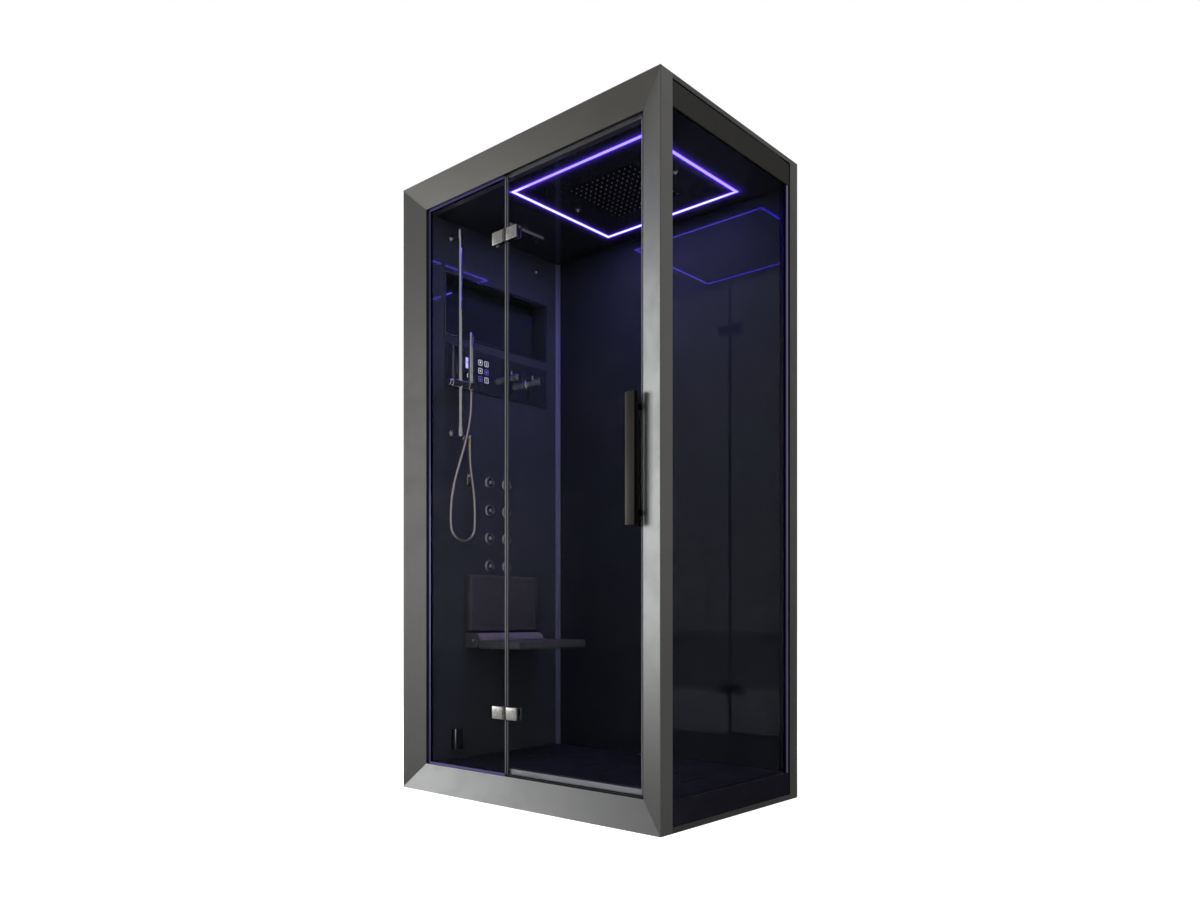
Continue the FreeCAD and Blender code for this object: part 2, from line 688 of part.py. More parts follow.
def slotted_cover():
    """The loose floor cover: a plate with a row of drain slots, on six round pads."""
    body = fresh("PartDesign::Body", "cover_body")
    drawing = drawing_on(body, "XY_Plane", "floor_z - cover_thick")
    left, right, front, rear = COVER_LEFT, COVER_RIGHT, "-" + COVER_SIDE, COVER_SIDE
    outline(drawing, [(left, front), (right, front), (right, rear), (left, rear)])
    pad(body, drawing, "cover_thick")
    slot_plan = drawing_on(body, "XY_Plane", "floor_z - cover_thick")
    low = COVER_LEFT + " + slot_end_left - slot_wide / 2"
    high = low + " + slot_wide"
    ends = ("-slot_long / 2", "slot_long / 2")
    outline(slot_plan, [(low, ends[0]), (high, ends[0]), (high, ends[1]), (low, ends[1])])
    first = pocket_through(body, slot_plan)
    row = body.newObject("PartDesign::LinearPattern", "slot_row")
    row.Originals = [first]
    row.Direction = (origin_plane(body, "X_Axis"), [""])
    row.setExpression(
        "Length", bind("width - cover_in_left - cover_in_right - slot_end_left - slot_end_right")
    )
    row.setExpression("Occurrences", bind("slot_count"))
    body.Tip = row
    pads = [
        rod(
            f"cover_pad_{k}", "Z", (x, y, "recess_floor"), "floor_z - cover_thick - recess_floor", "cover_pad"
        )
        for k, (x, y) in enumerate(
            (x, y)
            for x in (COVER_LEFT + " + pad_in", "drain_x - 3 * pad_in", COVER_RIGHT + " - pad_in")
            for y in ("-" + COVER_SIDE + " + 2 * pad_in", COVER_SIDE + " - 2 * pad_in")
        )
    ]
    node("floor_cover", join("cover", body, *pads))


def drain():
    """The trap under the tray, with its flange in the recess and its spigot at the rear."""
    body = rod("trap_body", "Z", ("drain_x", "0", "tray_low + 2"), "tray_web - tray_low - 2.5", "trap_radius")
    neck = rod(
        "trap_neck", "Z", ("drain_x", "0", "tray_web - 0.5"), "recess_floor - tray_web + 0.5", "neck_radius"
    )
    flange = rod("trap_flange", "Z", ("drain_x", "0", "recess_floor"), "2.5", "trap_radius")
    thick = rod("trap_pipe", "Y", ("drain_x", "0", "drain_z"), "depth / 2 - spigot - 2", "outlet_radius + 2")
    spigot = rod("trap_spigot", "Y", ("drain_x", "0", "drain_z"), "depth / 2 - 2", "outlet_radius")
    solid = join("trap_solid", body, neck, flange, thick, spigot)
    cup = rod("trap_cup", "Z", ("drain_x", "0", "tray_low + 6"), "60", "neck_radius - 5")
    bore = rod("trap_bore", "Y", ("drain_x", "0", "drain_z"), "depth / 2", "outlet_radius - outlet_wall")
    node("drain_trap", cut("trap", solid, join("trap_inside", cup, bore)))


# ---------------------------------------------------------------- wall and ceiling boards
def wall_hole(name, y, z, radius):
    """A round tool through the equipped wall's board."""
    return rod(name, "X", (WALL + " - board - 1", y, z), "board + 2", radius)


def jet_places():
    """Column, row and centre of each body jet."""
    for column, y in enumerate(("-jet_y", "jet_y")):
        for row in range(int(S.jet_rows)):
            yield column, row, y, f"jet_low + {row} * jet_pitch"


def boards():
    """The black boards of the equipped wall, the rear wall and the ceiling."""
    sheet_x = (WALL + " - board", WALL)
    full_z = ("floor_z", CEILING)
    base = block("wall_sheet", sheet_x, (FRAME_BACK + " - 2", REAR_WALL + " + board"), full_z)
    holes = [
        block(
            "hole_niche", (WALL + " - board - 1", WALL + " + 1"), ("-niche_half", "niche_half"),
            ("niche_low", "niche_low + niche_high"),
        ),
        wall_hole("hole_spindle_1", "knob_one_y", "knob_z", "spindle + 3"),
        wall_hole("hole_spindle_2", "knob_two_y", "knob_z", "spindle + 3"),
        wall_hole("hole_elbow", "-elbow_y", "elbow_z", "elbow_radius - 1"),
        wall_hole("hole_steam", "-steam_y", "steam_z", "steam_pipe + fit"),
    ]
    for column, row, y, z in jet_places():
        holes.append(wall_hole(f"hole_jet_{column}_{row}", y, z, "jet_neck + fit"))
    node("left_wall_panel", cut("wall_board", base, *holes))
    rear_x, rear_y = (WALL, "width / 2 - post_wide - fit"), (REAR_WALL, REAR_WALL + " + board")
    node("back_wall_panel", block("rear_board", rear_x, rear_y, full_z))

    ceiling = block(
        "ceiling_block",
        (WALL + " - board", "width / 2 - skin - glass - 1"),
        (STOP_BACK, REAR_WALL + " + fit"),
        (CEILING, CEILING + " + ceiling_board"),
    )
    rain_hole = block(
        "hole_rain",
        ("rain_x - rain_side / 2 - 1", "rain_x + rain_side / 2 + 1"),
        ("-rain_side / 2 - 1", "rain_side / 2 + 1"),
        (CEILING + " - 1", CEILING + " + ceiling_board + 1"),
    )
    outer = block("groove_outer", *loop_box("0"), (CEILING + " - 1", CEILING + " + loop_thick - fit"))
    inner = block("groove_inner", *loop_box("loop_line"), (CEILING + " - 2", CEILING + " + loop_thick"))
    groove = cut("loop_groove", outer, inner)
    feed = rod("hole_blade", "Z", (BLADE_X, "0", CEILING + " - 1"), "ceiling_board + 2", "pipe + fit")
    node("ceiling_panel", cut("ceiling_board_cut", ceiling, rain_hole, groove, feed))


def loop_box(inset):
    """The light loop's X and Y spans, drawn in by inset."""
    x = (f"rain_x - loop_wide / 2 + {inset}", f"rain_x + loop_wide / 2 - {inset}")
    y = (f"-loop_deep / 2 + {inset}", f"loop_deep / 2 - {inset}")
    return x, y


def corner_trims():
    """The angle in the rear left corner and the channel on the side glass's rear edge."""
    angle = fresh("PartDesign::Body", "corner_angle")
    drawing = drawing_on(angle, "XY_Plane", "floor_z")
    points = [
        (WALL, REAR_WALL),
        (WALL, REAR_WALL + " - angle_side"),
        (WALL + " + angle_thick", REAR_WALL + " - angle_side"),
        (WALL + " + angle_thick", REAR_WALL + " - angle_thick"),
        (WALL + " + angle_side", REAR_WALL + " - angle_thick"),
        (WALL + " + angle_side", REAR_WALL),
    ]
    outline(drawing, points)
    pad(angle, drawing, CEILING + " - floor_z")
    channel = fresh("PartDesign::Body", "side_channel")
    drawing = drawing_on(channel, "XY_Plane", "floor_z")
    out, inn = "width / 2 - skin - fit", "width / 2 - skin - fit - glass"
    edge, rear = GLASS_REAR + " + fit", GLASS_REAR + " + fit + angle_thick"
    front = rear + " - channel_deep"
    points = [
        (out + " + angle_thick", front),
        (out + " + angle_thick", rear),
        (inn + " - angle_thick", rear),
        (inn + " - angle_thick", front),
        (inn + " - 0.3", front),
        (inn + " - 0.3", edge),
        (out + " + 0.3", edge),
        (out + " + 0.3", front),
    ]
    outline(drawing, points)
    pad(channel, drawing, CEILING + " - 3 - floor_z")
    node("corner_profiles", angle, channel)


# ---------------------------------------------------------------- glazing
def glazing():
    """Fixed front glass, side glass, their channels and the stop frame behind the door."""
    edge = "-pivot_x - leaf_gap"
    node(
        "fixed_glass",
        block("fixed_pane", (WALL, edge), (GLASS_FRONT, GLASS_BACK), ("floor_z + 1", DOOR_TOP + " + 1")),
    )
    side_x = ("width / 2 - skin - fit - glass", "width / 2 - skin - fit")
    node(
        "side_glass",
        block("side_pane", side_x, (FRAME_BACK + " - lip", GLASS_REAR), ("floor_z", CEILING + " - 3")),
    )

    body = fresh("PartDesign::Body", "upright_channel")
    drawing = drawing_on(body, "XY_Plane", "face_low + 0.3")
    back, lip = WALL + " - 2", WALL + " - 2 + channel"
    front_out, rear_out = GLASS_FRONT + " - channel_wall - 0.2", GLASS_BACK + " + channel_wall + 0.2"
    front_in, rear_in = GLASS_FRONT + " - 0.2", GLASS_BACK + " + 0.2"
    points = [
        (lip, front_out),
        (back, front_out),
        (back, rear_out),
        (lip, rear_out),
        (lip, rear_in),
        (WALL + " - 0.3", rear_in),
        (WALL + " - 0.3", front_in),
        (lip, front_in),
    ]
    outline(drawing, points)
    pad(body, drawing, "height - face_top - face_low - 0.6")
    runs = []
    for name, low, high in (
        ("low", "face_low + 0.3", "floor_z + 6"),
        ("top", DOOR_TOP + " - 5", INNER_TOP + " - 0.3"),
    ):
        strips = [
            block(f"strip_{name}_front", (lip, edge), (front_out, front_in), (low, high)),
            block(f"strip_{name}_rear", (lip, edge), (rear_in, rear_out), (low, high)),
        ]
        runs.extend(strips)
    node("fixed_glass_channels", body, *runs)

    stop_y = (GLASS_BACK + " + 2", STOP_BACK)
    stop_right = INNER_X
    node(
        "door_stop_frame",
        block("threshold", (edge, stop_right), stop_y, ("floor_z", "floor_z + jamb")),
        block("strike_jamb", (stop_right + " - jamb", stop_right), stop_y, ("floor_z + jamb", CEILING)),
        block("head", (WALL + " - board", stop_right), stop_y, (CEILING, INNER_TOP + " + skin")),
    )
    seal_x = (edge, "-pivot_x + leaf_gap - 0.4")
    half = "hinge_high / 2 + 1"
    spans = [
        (DOOR_LOW, f"hinge_low - ({half})"),
        (f"hinge_low + {half}", f"height - hinge_down - ({half})"),
        (f"height - hinge_down + {half}", DOOR_TOP),
    ]
    strips = [
        block(f"meeting_strip_{k}", seal_x, (GLASS_FRONT, GLASS_BACK), span) for k, span in enumerate(spans)
    ]
    node("meeting_seal", *strips)


# ---------------------------------------------------------------- hinges and door
HINGES = (("low", "hinge_low"), ("top", "height - hinge_down"))


def hinge_plate(name, sign, z, side):
    """A hinge plate on one face of the glass: outer plates reach the barrel, inner ones don't."""
    if side == "outer":
        y = (GLASS_FRONT + " - hinge_out", GLASS_FRONT)
        near = "knuckle + barrel_gap"
    else:
        y = (GLASS_BACK, GLASS_BACK + " + hinge_in")
        near = "knuckle + 2"
    ends = [f"-pivot_x + {sign} * ({near})", f"-pivot_x + {sign} * hinge_long / 2"]
    x = tuple(ends) if sign == "1" else tuple(reversed(ends))
    return block(name, x, y, (f"{z} - hinge_high / 2", f"{z} + hinge_high / 2"))


def barrel(name, z, low, high, sign):
    """One knuckle of a hinge barrel, with the web that ties it to its plate."""
    span = (f"{z} + {low}", f"{z} + {high}")
    ring = rod(name + "_ring", "Z", ("-pivot_x", PIVOT_Y, span[0]), f"({high}) - ({low})", "knuckle")
    ends = ["-pivot_x", f"-pivot_x + {sign} * (knuckle + barrel_gap)"]
    x = tuple(ends) if sign == "1" else tuple(reversed(ends))
    web = block(name + "_web", x, (PIVOT_Y + " - 5", PIVOT_Y + " + 4"), span)
    return [ring, web]


def hinges():
    """Two glass-to-glass hinges: fixed leaves with end knuckles, door leaves with the middle one."""
    fixed, moving, pins = [], [], []
    third = "hinge_high / 6"
    for place, z in HINGES:
        plate = hinge_plate(f"fixed_outer_{place}", "-1", z, "outer")
        lower = barrel(f"knuckle_a_{place}", z, "-hinge_high / 2", f"-{third} - barrel_gap / 2", "-1")
        upper = barrel(f"knuckle_b_{place}", z, f"{third} + barrel_gap / 2", "hinge_high / 2", "-1")
        solid = join(f"fixed_leaf_{place}", plate, *lower, *upper)
        long = "hinge_high + 2"
        start = ("-pivot_x", PIVOT_Y, f"{z} - hinge_high / 2 - 1")
        fixed.append(cut(f"fixed_bored_{place}", solid, rod(f"fixed_bore_{place}", "Z", start, long, "pin")))
        fixed.append(hinge_plate(f"fixed_inner_{place}", "-1", z, "inner"))
        plate = hinge_plate(f"door_outer_{place}", "1", z, "outer")
        middle = barrel(
            f"knuckle_c_{place}", z, f"-{third} + barrel_gap / 2", f"{third} - barrel_gap / 2", "1"
        )
        solid = join(f"door_leaf_{place}", plate, *middle)
        bore = rod(f"door_bore_{place}", "Z", start, long, "pin + running")
        moving.append(cut(f"door_bored_{place}", solid, bore))
        moving.append(hinge_plate(f"door_inner_{place}", "1", z, "inner"))
        low_end = ("-pivot_x", PIVOT_Y, f"{z} - hinge_high / 2")
        pins.append(rod(f"hinge_pin_{place}", "Z", low_end, "hinge_high", "pin"))
    seat_start = (seat_axis_x(), "seat_y - seat_half", "seat_axis_z")
    pins.append(rod("seat_pivot_pin", "Y", seat_start, "2 * seat_half", "seat_pin"))
    node("hinge_fixed_leaves", *fixed)
    node("door_hinge_leaves", *moving)
    node("pivot_pins", *pins)


def door():
    """The door's glass, its seals, and the handle bars bolted through it."""
    edge = "-pivot_x + leaf_gap"
    pane = block("door_pane", (edge, DOOR_RIGHT), (GLASS_FRONT, GLASS_BACK), (DOOR_LOW, DOOR_TOP))
    heights = ("handle_low + fixing_in", "handle_low + handle_long - fixing_in")
    holes = [
        rod(
            f"pane_hole_{k}", "Y", (HANDLE_RIGHT + " - fixing_side", GLASS_FRONT + " - 1", z),
            "glass + 2", "fixing_radius",
        )
        for k, z in enumerate(heights)
    ]
    node("door_glass", cut("door_pane_bored", pane, *holes))
    faces = (GLASS_FRONT, GLASS_BACK)
    node(
        "door_seals",
        block("drip_seal", (edge, DOOR_RIGHT), faces, (DOOR_LOW + " - skin", DOOR_LOW)),
        block("strike_seal", (DOOR_RIGHT, DOOR_RIGHT + " + skin"), faces, (DOOR_LOW, DOOR_TOP)),
    )
    span = ("handle_low", "handle_low + handle_long")
    outer_y = (GLASS_FRONT + " - handle_gap - handle_deep", GLASS_FRONT + " - handle_gap")
    inner_y = (GLASS_BACK + " + handle_gap", GLASS_BACK + " + handle_gap + handle_deep")
    left = HANDLE_RIGHT + " - handle_wide"
    fixings = [
        rod(
            f"handle_fixing_{k}", "Y", (HANDLE_RIGHT + " - fixing_side", outer_y[1], z),
            "2 * handle_gap + glass", "fixing_radius",
        )
        for k, z in enumerate(heights)
    ]
    node(
        "door_handle",
        block("outer_bar", (left, HANDLE_RIGHT), outer_y, span),
        block("inner_bar", (left, left + " + grip_wide"), inner_y, span),
        *fixings,
    )


# ---------------------------------------------------------------- ceiling fittings
def light_loop():
    """Four straight diffuser bars of the light loop, flush in the ceiling's groove."""
    z = (CEILING + " - fit", CEILING + " + loop_thick - fit")
    (x_low, x_high), (y_low, y_high) = loop_box("0")
    (_, _), (y_in_low, y_in_high) = loop_box("loop_line")
    node(
        "led_diffuser",
        block("light_front", (x_low, x_high), (y_low, y_in_low), z),
        block("light_rear", (x_low, x_high), (y_in_high, y_high), z),
        block("light_left", (x_low, x_low + " + loop_line"), (y_in_low, y_in_high), z),
        block("light_right", (x_high + " - loop_line", x_high), (y_in_low, y_in_high), z),
    )


def nozzle_grid():
    """Centres of the rain head's nozzles."""
    rows = int(S.nozzle_rows)
    first = -(rows - 1) * S.nozzle_pitch / 2
    for i in range(rows):
        for j in range(rows):
            yield S.rain_x + first + i * S.nozzle_pitch, first + j * S.nozzle_pitch


def rain_head():
    """A hollow square rain head, holed for a soft mat whose nozzles stand out of its face."""
    half = S.rain_side / 2
    low = S.height - S.ceiling_in - S.fit
    corners = [(-half, -half), (half, -half), (half, half), (-half, half)]
    edge = Part.makePolygon([Vector(S.rain_x + x, y, low) for x, y in corners + corners[:1]])
    rims = [
        Part.Wire(Part.makeCircle(S.nozzle_radius, Vector(x, y, low), Vector(0, 0, 1)))
        for x, y in nozzle_grid()
    ]
    face = Part.makeFace([edge] + rims, "Part::FaceMakerBullseye")
    plate = face.extrude(Vector(0, 0, S.rain_plate))
    sleeve = Part.makeBox(
        S.rain_side, S.rain_side, S.rain_body, Vector(S.rain_x - half, -half, low + S.rain_plate)
    )
    room = S.rain_side - 8
    hollow = Part.makeBox(
        room, room, S.rain_body - 4, Vector(S.rain_x - room / 2, -room / 2, low + S.rain_plate)
    )
    neck_low = low + S.rain_plate + S.rain_body - 4
    neck = Part.makeCylinder(S.pipe + 3, S.neck_high, Vector(S.rain_x, 0, neck_low))
    throat = Part.makeCylinder(S.pipe - 2, S.neck_high + 2, Vector(S.rain_x, 0, neck_low - 1))
    shape = plate.fuse([sleeve.cut(hollow), neck]).cut(throat).removeSplitter()
    head = fresh("Part::Feature", "rain_head_shape")
    head.Shape = shape
    node("rain_head", head)

    mat_high = 4
    mat = Part.makeBox(
        room - 1, room - 1, mat_high, Vector(S.rain_x - (room - 1) / 2, -(room - 1) / 2, low + S.rain_plate)
    )
    stubs = [
        Part.makeCone(
            S.nozzle_radius - 1, S.nozzle_radius - 0.1, S.nozzle_drop + S.rain_plate,
            Vector(x, y, low - S.nozzle_drop),
        )
        for x, y in nozzle_grid()
    ]
    nozzles = fresh("Part::Feature", "rain_nozzles_shape")
    nozzles.Shape = mat.fuse(stubs)
    node("rain_nozzles", nozzles)


def ceiling_fittings():
    """The blade outlet above the seat and two mist nozzles beside the rain head."""
    half = "blade_long / 2 - blade_wide / 2"
    z = CEILING + " - blade_drop"
    bar = block(
        "blade_bar", (BLADE_X + " - blade_wide / 2", BLADE_X + " + blade_wide / 2"),
        (f"-({half})", half), (z, CEILING),
    )
    ends = [
        rod(f"blade_end_{k}", "Z", (BLADE_X, y, z), "blade_drop", "blade_wide / 2")
        for k, y in enumerate((f"-({half})", half))
    ]
    body = join("blade_solid", bar, *ends)
    mouth = block(
        "blade_mouth", (BLADE_X + " - 1.5", BLADE_X + " + 1.5"), (f"-({half})", half),
        (z + " - 1", CEILING + " - 1"),
    )
    node("blade_outlet", cut("blade", body, mouth))
    mist = []
    for k, sign in enumerate(("-1", "1")):
        x = f"rain_x + {sign} * mist_reach"
        disc = taper(f"mist_disc_{k}", "Z", (x, "0", CEILING + " - 5"), "5", "mist_radius - 3", "mist_radius")
        tip = rod(f"mist_tip_{k}", "Z", (x, "0", CEILING + " - 8"), "4", "3")
        mist.append(join(f"mist_{k}", disc, tip))
    node("mist_nozzles", *mist)


# ---------------------------------------------------------------- niche, panel and mixer
def niche():
    """A bottle niche: a glossy liner that is open towards the cabin."""
    half, top = "niche_half - 0.3", "niche_low + niche_high - 0.3"
    x = (WALL + " - niche_deep", WALL + " + 1.5")
    outside = block("niche_outside", x, (f"-({half})", half), ("niche_low + 0.3", top))
    inside = block(
        "niche_inside",
        (WALL + " - niche_deep + niche_wall", WALL + " + 2.5"),
        (f"-({half}) + niche_wall", f"{half} - niche_wall"),
        ("niche_low + 0.3 + niche_wall", f"{top} - niche_wall"),
    )
    node("niche_liner", cut("niche", outside, inside))


def control_panel():
    """The glass control panel with its display, its touch keys and the mixer behind it."""
    x = (WALL, WALL + " + panel_thick")
    plate = block("panel_plate", x, ("-niche_half", "niche_half"), ("panel_low", "panel_low + panel_high"))
    holes = [
        rod(f"panel_hole_{k}", "X", (WALL + " - 1", y, "knob_z"), "panel_thick + 2", "spindle + 3")
        for k, y in enumerate(("knob_one_y", "knob_two_y"))
    ]
    node("control_panel", cut("panel", plate, *holes))
    inlay_x = (WALL + " + panel_thick", WALL + " + panel_thick + inlay")
    display_y = ("-display_y - display_wide / 2", "-display_y + display_wide / 2")
    display = block("display_plate", inlay_x, display_y, ("display_low", "display_low + display_high"))
    node("panel_display", display)
    power_y = ("-display_y - power_wide / 2", "-display_y + power_wide / 2")
    keys = [block("key_power", inlay_x, power_y, ("power_low", "power_low + power_high"))]
    for column in range(2):
        for row in range(3):
            y = f"-key_y + {column} * key_step"
            z = f"key_low + {row} * key_step"
            span_y = (f"{y} - key / 2", f"{y} + key / 2")
            keys.append(block(f"key_{column}_{row}", inlay_x, span_y, (z, f"{z} + key")))
    node("touch_keys", *keys)

    body = block(
        "mixer_block",
        (SERVICE + " - mixer_back", WALL + " - board - 2"),
        ("knob_one_y - mixer_side", "knob_two_y + mixer_side"),
        ("knob_z - mixer_down", "knob_z + mixer_up"),
    )
    spindles = []
    for k, y in enumerate(("knob_one_y", "knob_two_y")):
        long = "board + 2 + panel_thick + spindle_out"
        start = (WALL + " - board - 2", y, "knob_z")
        spindles.append(rod(f"mixer_spindle_{k}", "X", start, long, "spindle"))
    node("mixer_valve", join("mixer", body, *spindles))


def knob(name, y, out, lever_at):
    """A mixer knob: base ring, waisted barrel, a cross pin, and a blind bore on the spindle."""
    face = WALL + " + panel_thick + 0.3"
    ring = rod(name + "_ring", "X", (face, y, "knob_z"), "rosette_thick", "rosette")
    waist = rod(name + "_waist", "X", (face, y, "knob_z"), "rosette_thick + 6", "knob_radius - 3")
    grip = rod(
        name + "_grip", "X", (face + " + rosette_thick + 5", y, "knob_z"),
        f"{out} - rosette_thick - 9.3", "knob_radius",
    )
    pin_x = f"{WALL} + {lever_at}"
    lever = rod(name + "_lever", "Z", (pin_x, y, "knob_z"), "knob_radius + lever_long", "lever_radius")
    tip = ball(name + "_tip", (pin_x, y, "knob_z + knob_radius + lever_long"), "lever_radius + 1.5")
    solid = join(name + "_solid", ring, waist, grip, lever, tip)
    bore = rod(name + "_bore", "X", (face + " - 1", y, "knob_z"), "spindle_out + 2", "spindle + running")
    node(name, cut(name + "_bored", solid, bore))


# ---------------------------------------------------------------- hand shower
def hand_shower():
    """Slide rail, its wall brackets, slider, lock knob, tilting cradle, hand shower and hook."""
    rail_x = WALL + " + rail_out"
    node(
        "slide_rail",
        rod("rail_tube", "Z", (rail_x, "-rail_y", "rail_bottom - 8"), "rail_long + 16", "rail_radius"),
    )
    ends = []
    places = (("low", "rail_bottom - bracket_high"), ("top", "rail_bottom + rail_long"))
    for name, z in places:
        cup = rod(f"bracket_{name}_cup", "Z", (rail_x, "-rail_y", z), "bracket_high", "bracket_radius")
        middle = f"{z} + bracket_high / 2"
        arm = rod(f"bracket_{name}_arm", "X", (WALL, "-rail_y", middle), "rail_out", "arm_radius")
        rose = rod(f"bracket_{name}_rose", "X", (WALL, "-rail_y", middle), "5", "arm_radius + 7")
        solid = join(f"bracket_{name}_solid", cup, arm, rose)
        low = f"{z} + bracket_high - 8" if name == "low" else f"{z} - 1"
        socket = rod(f"bracket_{name}_socket", "Z", (rail_x, "-rail_y", low), "9", "rail_radius")
        ends.append(cut(f"bracket_{name}", solid, socket))
    node("rail_brackets", *ends)

    slider = rod(
        "slider_bar", "Y", (rail_x, "-holder_left", "holder_z"), "holder_left - holder_split", "holder_radius"
    )
    bore = rod(
        "slider_bore", "Z", (rail_x, "-rail_y", "holder_z - holder_radius - 1"),
        "2 * holder_radius + 2", "rail_radius + running",
    )
    node("slider_block", cut("slider", slider, bore))
    lock_y = "-holder_left - 0.3 - lock_long"
    grip = taper(
        "lock_grip", "Y", (rail_x, lock_y, "holder_z"), "lock_long", "holder_radius - 2", "holder_radius"
    )
    wing = block(
        "lock_wing", (rail_x + " - 4", rail_x + " + 4"), (lock_y, lock_y + " + 5"),
        ("holder_z - 18", "holder_z + 18"),
    )
    node("slider_knob", join("lock_knob", grip, wing))

    cradle = rod(
        "cradle_bar", "Y", (rail_x, "-holder_split + 0.4", "holder_z"),
        "holder_split - 0.4 - cradle_right", "holder_radius"
    )
    trim = block(
        "cradle_trim", (rail_x + " - 20", rail_x + " + 20"), ("-holder_split", "-cradle_right + 1"),
        ("holder_z + holder_radius - 1.5", "holder_z + holder_radius + 1"),
    )
    hole = rod(
        "cradle_hole", "Z", (rail_x, "-shower_y", "holder_z - holder_radius - 1"),
        "2 * holder_radius + 2", "shower_radius + 0.1"
    )
    node("handset_cradle", cut("cradle", cut("cradle_flat", cradle, trim), hole))

    stick = fresh("PartDesign::Body", "stick_body")
    stick.setExpression("Placement.Base.x", bind(rail_x))
    stick.setExpression("Placement.Base.y", bind("-shower_y"))
    stick.setExpression("Placement.Base.z", bind("shower_low"))
    drawing = drawing_on(stick, "XZ_Plane")
    seat = "holder_z + holder_radius - 1.5 - shower_low"
    points = [
        ("shower_bore", "0"),
        ("shower_radius", "0"),
        ("shower_radius", seat),
        ("shower_radius + 2.5", seat),
        ("shower_radius + 2.5", f"{seat} + 3"),
        ("shower_radius", f"{seat} + 5"),
        ("shower_radius", "shower_long - 4"),
        ("shower_radius - 4", "shower_long"),
        ("0", "shower_long"),
        ("0", "socket_deep"),
        ("shower_bore", "socket_deep"),
    ]
    outline(drawing, points)
    item = stick.newObject("PartDesign::Revolution", "stick_turn")
    item.Profile = drawing
    item.ReferenceAxis = (drawing, ["V_Axis"])
    item.Angle = 360
    node("handset", stick)

    hook = block(
        "hook_block", (WALL, WALL + " + hook_out - 6"),
        ("-hook_y - hook_wide / 2", "-hook_y + hook_wide / 2"),
        ("hook_z", "hook_z + hook_high"),
    )
    peg = rod("hook_peg", "X", (WALL, "-hook_y", "hook_z + hook_high - 10"), "hook_out", "7")
    node("wall_hook", join("hook", hook, peg))

    rose = rod("elbow_rose", "X", (WALL, "-elbow_y", "elbow_z"), "4", "elbow_radius + 6")
    inlet = rod(
        "elbow_inlet", "X", (WALL + " - board", "-elbow_y", "elbow_z"), "board + elbow_out",
        "elbow_radius - 1.5",
    )
    bend = ball("elbow_bend", (WALL + " + elbow_out", "-elbow_y", "elbow_z"), "elbow_radius")
    nut = rod(
        "elbow_nut", "Z", (WALL + " + elbow_out", "-elbow_y", "nut_low"), "elbow_z - nut_low", "nut_radius"
    )
    node("hose_elbow", join("elbow", rose, inlet, bend, nut))


def hose():
    """The hand shower's hose: a smooth tube that hangs in a loop from the elbow to the handset."""
    wall = S.wall_in - S.width / 2
    start = Vector(wall + S.elbow_out, -S.elbow_y, S.nut_low)
    end = Vector(wall + S.rail_out, -S.shower_y, S.shower_low + S.hose_in)
    # chosen by hand along the loop: down from the elbow, round, and up to the hand shower
    between = [
        (-478, -176, 1230),
        (-476, -166.5, 1165),
        (-474, -156.5, 1100),
        (-472.5, -154.5, 1035),
        (-471, -156, 969.4),
        (-470, -172.6, 940.6),
        (-469, -201.4, 924),
        (-468, -234.6, 924),
        (-467, -263.4, 940.6),
        (-466, -280, 969.4),
        (-464.5, -281.5, 1035),
        (-463, -277, 1090),
        (-461.5, -263, 1155),
        (-460, -240, 1222),
        (-458.5, -217, 1290),
        (-457.2, -200, 1354),
        (-456.3, -190.5, 1410),
        (-456, -188, 1462),
    ]
    points = [start, *[Vector(*place) for place in between], end]
    edges, radii, here = [], [], points[0]
    for before, corner, after in zip(points, points[1:], points[2:]):
        back, on = (before - corner), (after - corner)
        turn = math.pi - back.getAngle(on)
        radius = 0.45 * min(back.Length, on.Length) / math.tan(turn / 2)
        reach = radius * math.tan(turn / 2)
        back.normalize()
        on.normalize()
        first, last = corner + back * reach, corner + on * reach
        inward = back + on
        inward.normalize()
        middle = corner + inward * (radius / math.cos(turn / 2) - radius)
        edges.append(Part.LineSegment(here, first).toShape())
        edges.append(Part.Arc(first, middle, last).toShape())
        radii.append(radius)
        here = last
    edges.append(Part.LineSegment(here, points[-1]).toShape())
    path = Part.Wire(edges)
    ring = Part.Wire(Part.makeCircle(S.hose_radius, points[0], points[1] - points[0]))
    tube = path.makePipeShell([ring], True, True)
    expected = math.pi * S.hose_radius ** 2 * path.Length
    print("hose length", round(path.Length, 1), "radii", [round(radius) for radius in radii])
    print("hose volume over section times length", round(tube.Volume / expected, 4))
    item = fresh("Part::Feature", "hose_tube")
    item.Shape = tube
    node("hose", item)


# ---------------------------------------------------------------- jets, seat, steam
def jets():
    """Eight body jets: a domed flange with a neck through the wall, and a spray face in each."""
    flanges, faces = [], []
    for column, row, y, z in jet_places():
        name = f"jet_{column}_{row}"
        dome = taper(name + "_dome", "X", (WALL, y, z), "jet_out", "jet_flange", "0.73 * jet_flange")
        neck = rod(name + "_neck", "X", (WALL + " - jet_neck_long", y, z), "jet_neck_long", "jet_neck")
        bore = rod(
            name + "_bore", "X", (WALL + " - jet_neck_long - 1", y, z), "2 * jet_neck_long", "jet_bore"
        )
        flanges.append(cut(name + "_flange", join(name + "_solid", dome, neck), bore))
        plug = rod(
            name + "_plug", "X", (WALL + " - jet_plug_long", y, z), "jet_plug_long + jet_out / 3", "jet_bore"
        )
        nose = taper(
            name + "_nose", "X", (WALL + " + jet_out / 3", y, z), "jet_nose", "0.85 * jet_bore",
            "0.65 * jet_bore"
        )
        faces.append(join(name + "_face", plug, nose))
    node("jet_flanges", *flanges)
    node("jet_nozzles", *faces)


def seat_axis_x():
    """Where the seat's pivot stands, out from the wall."""
    return WALL + " + seat_axis_out"


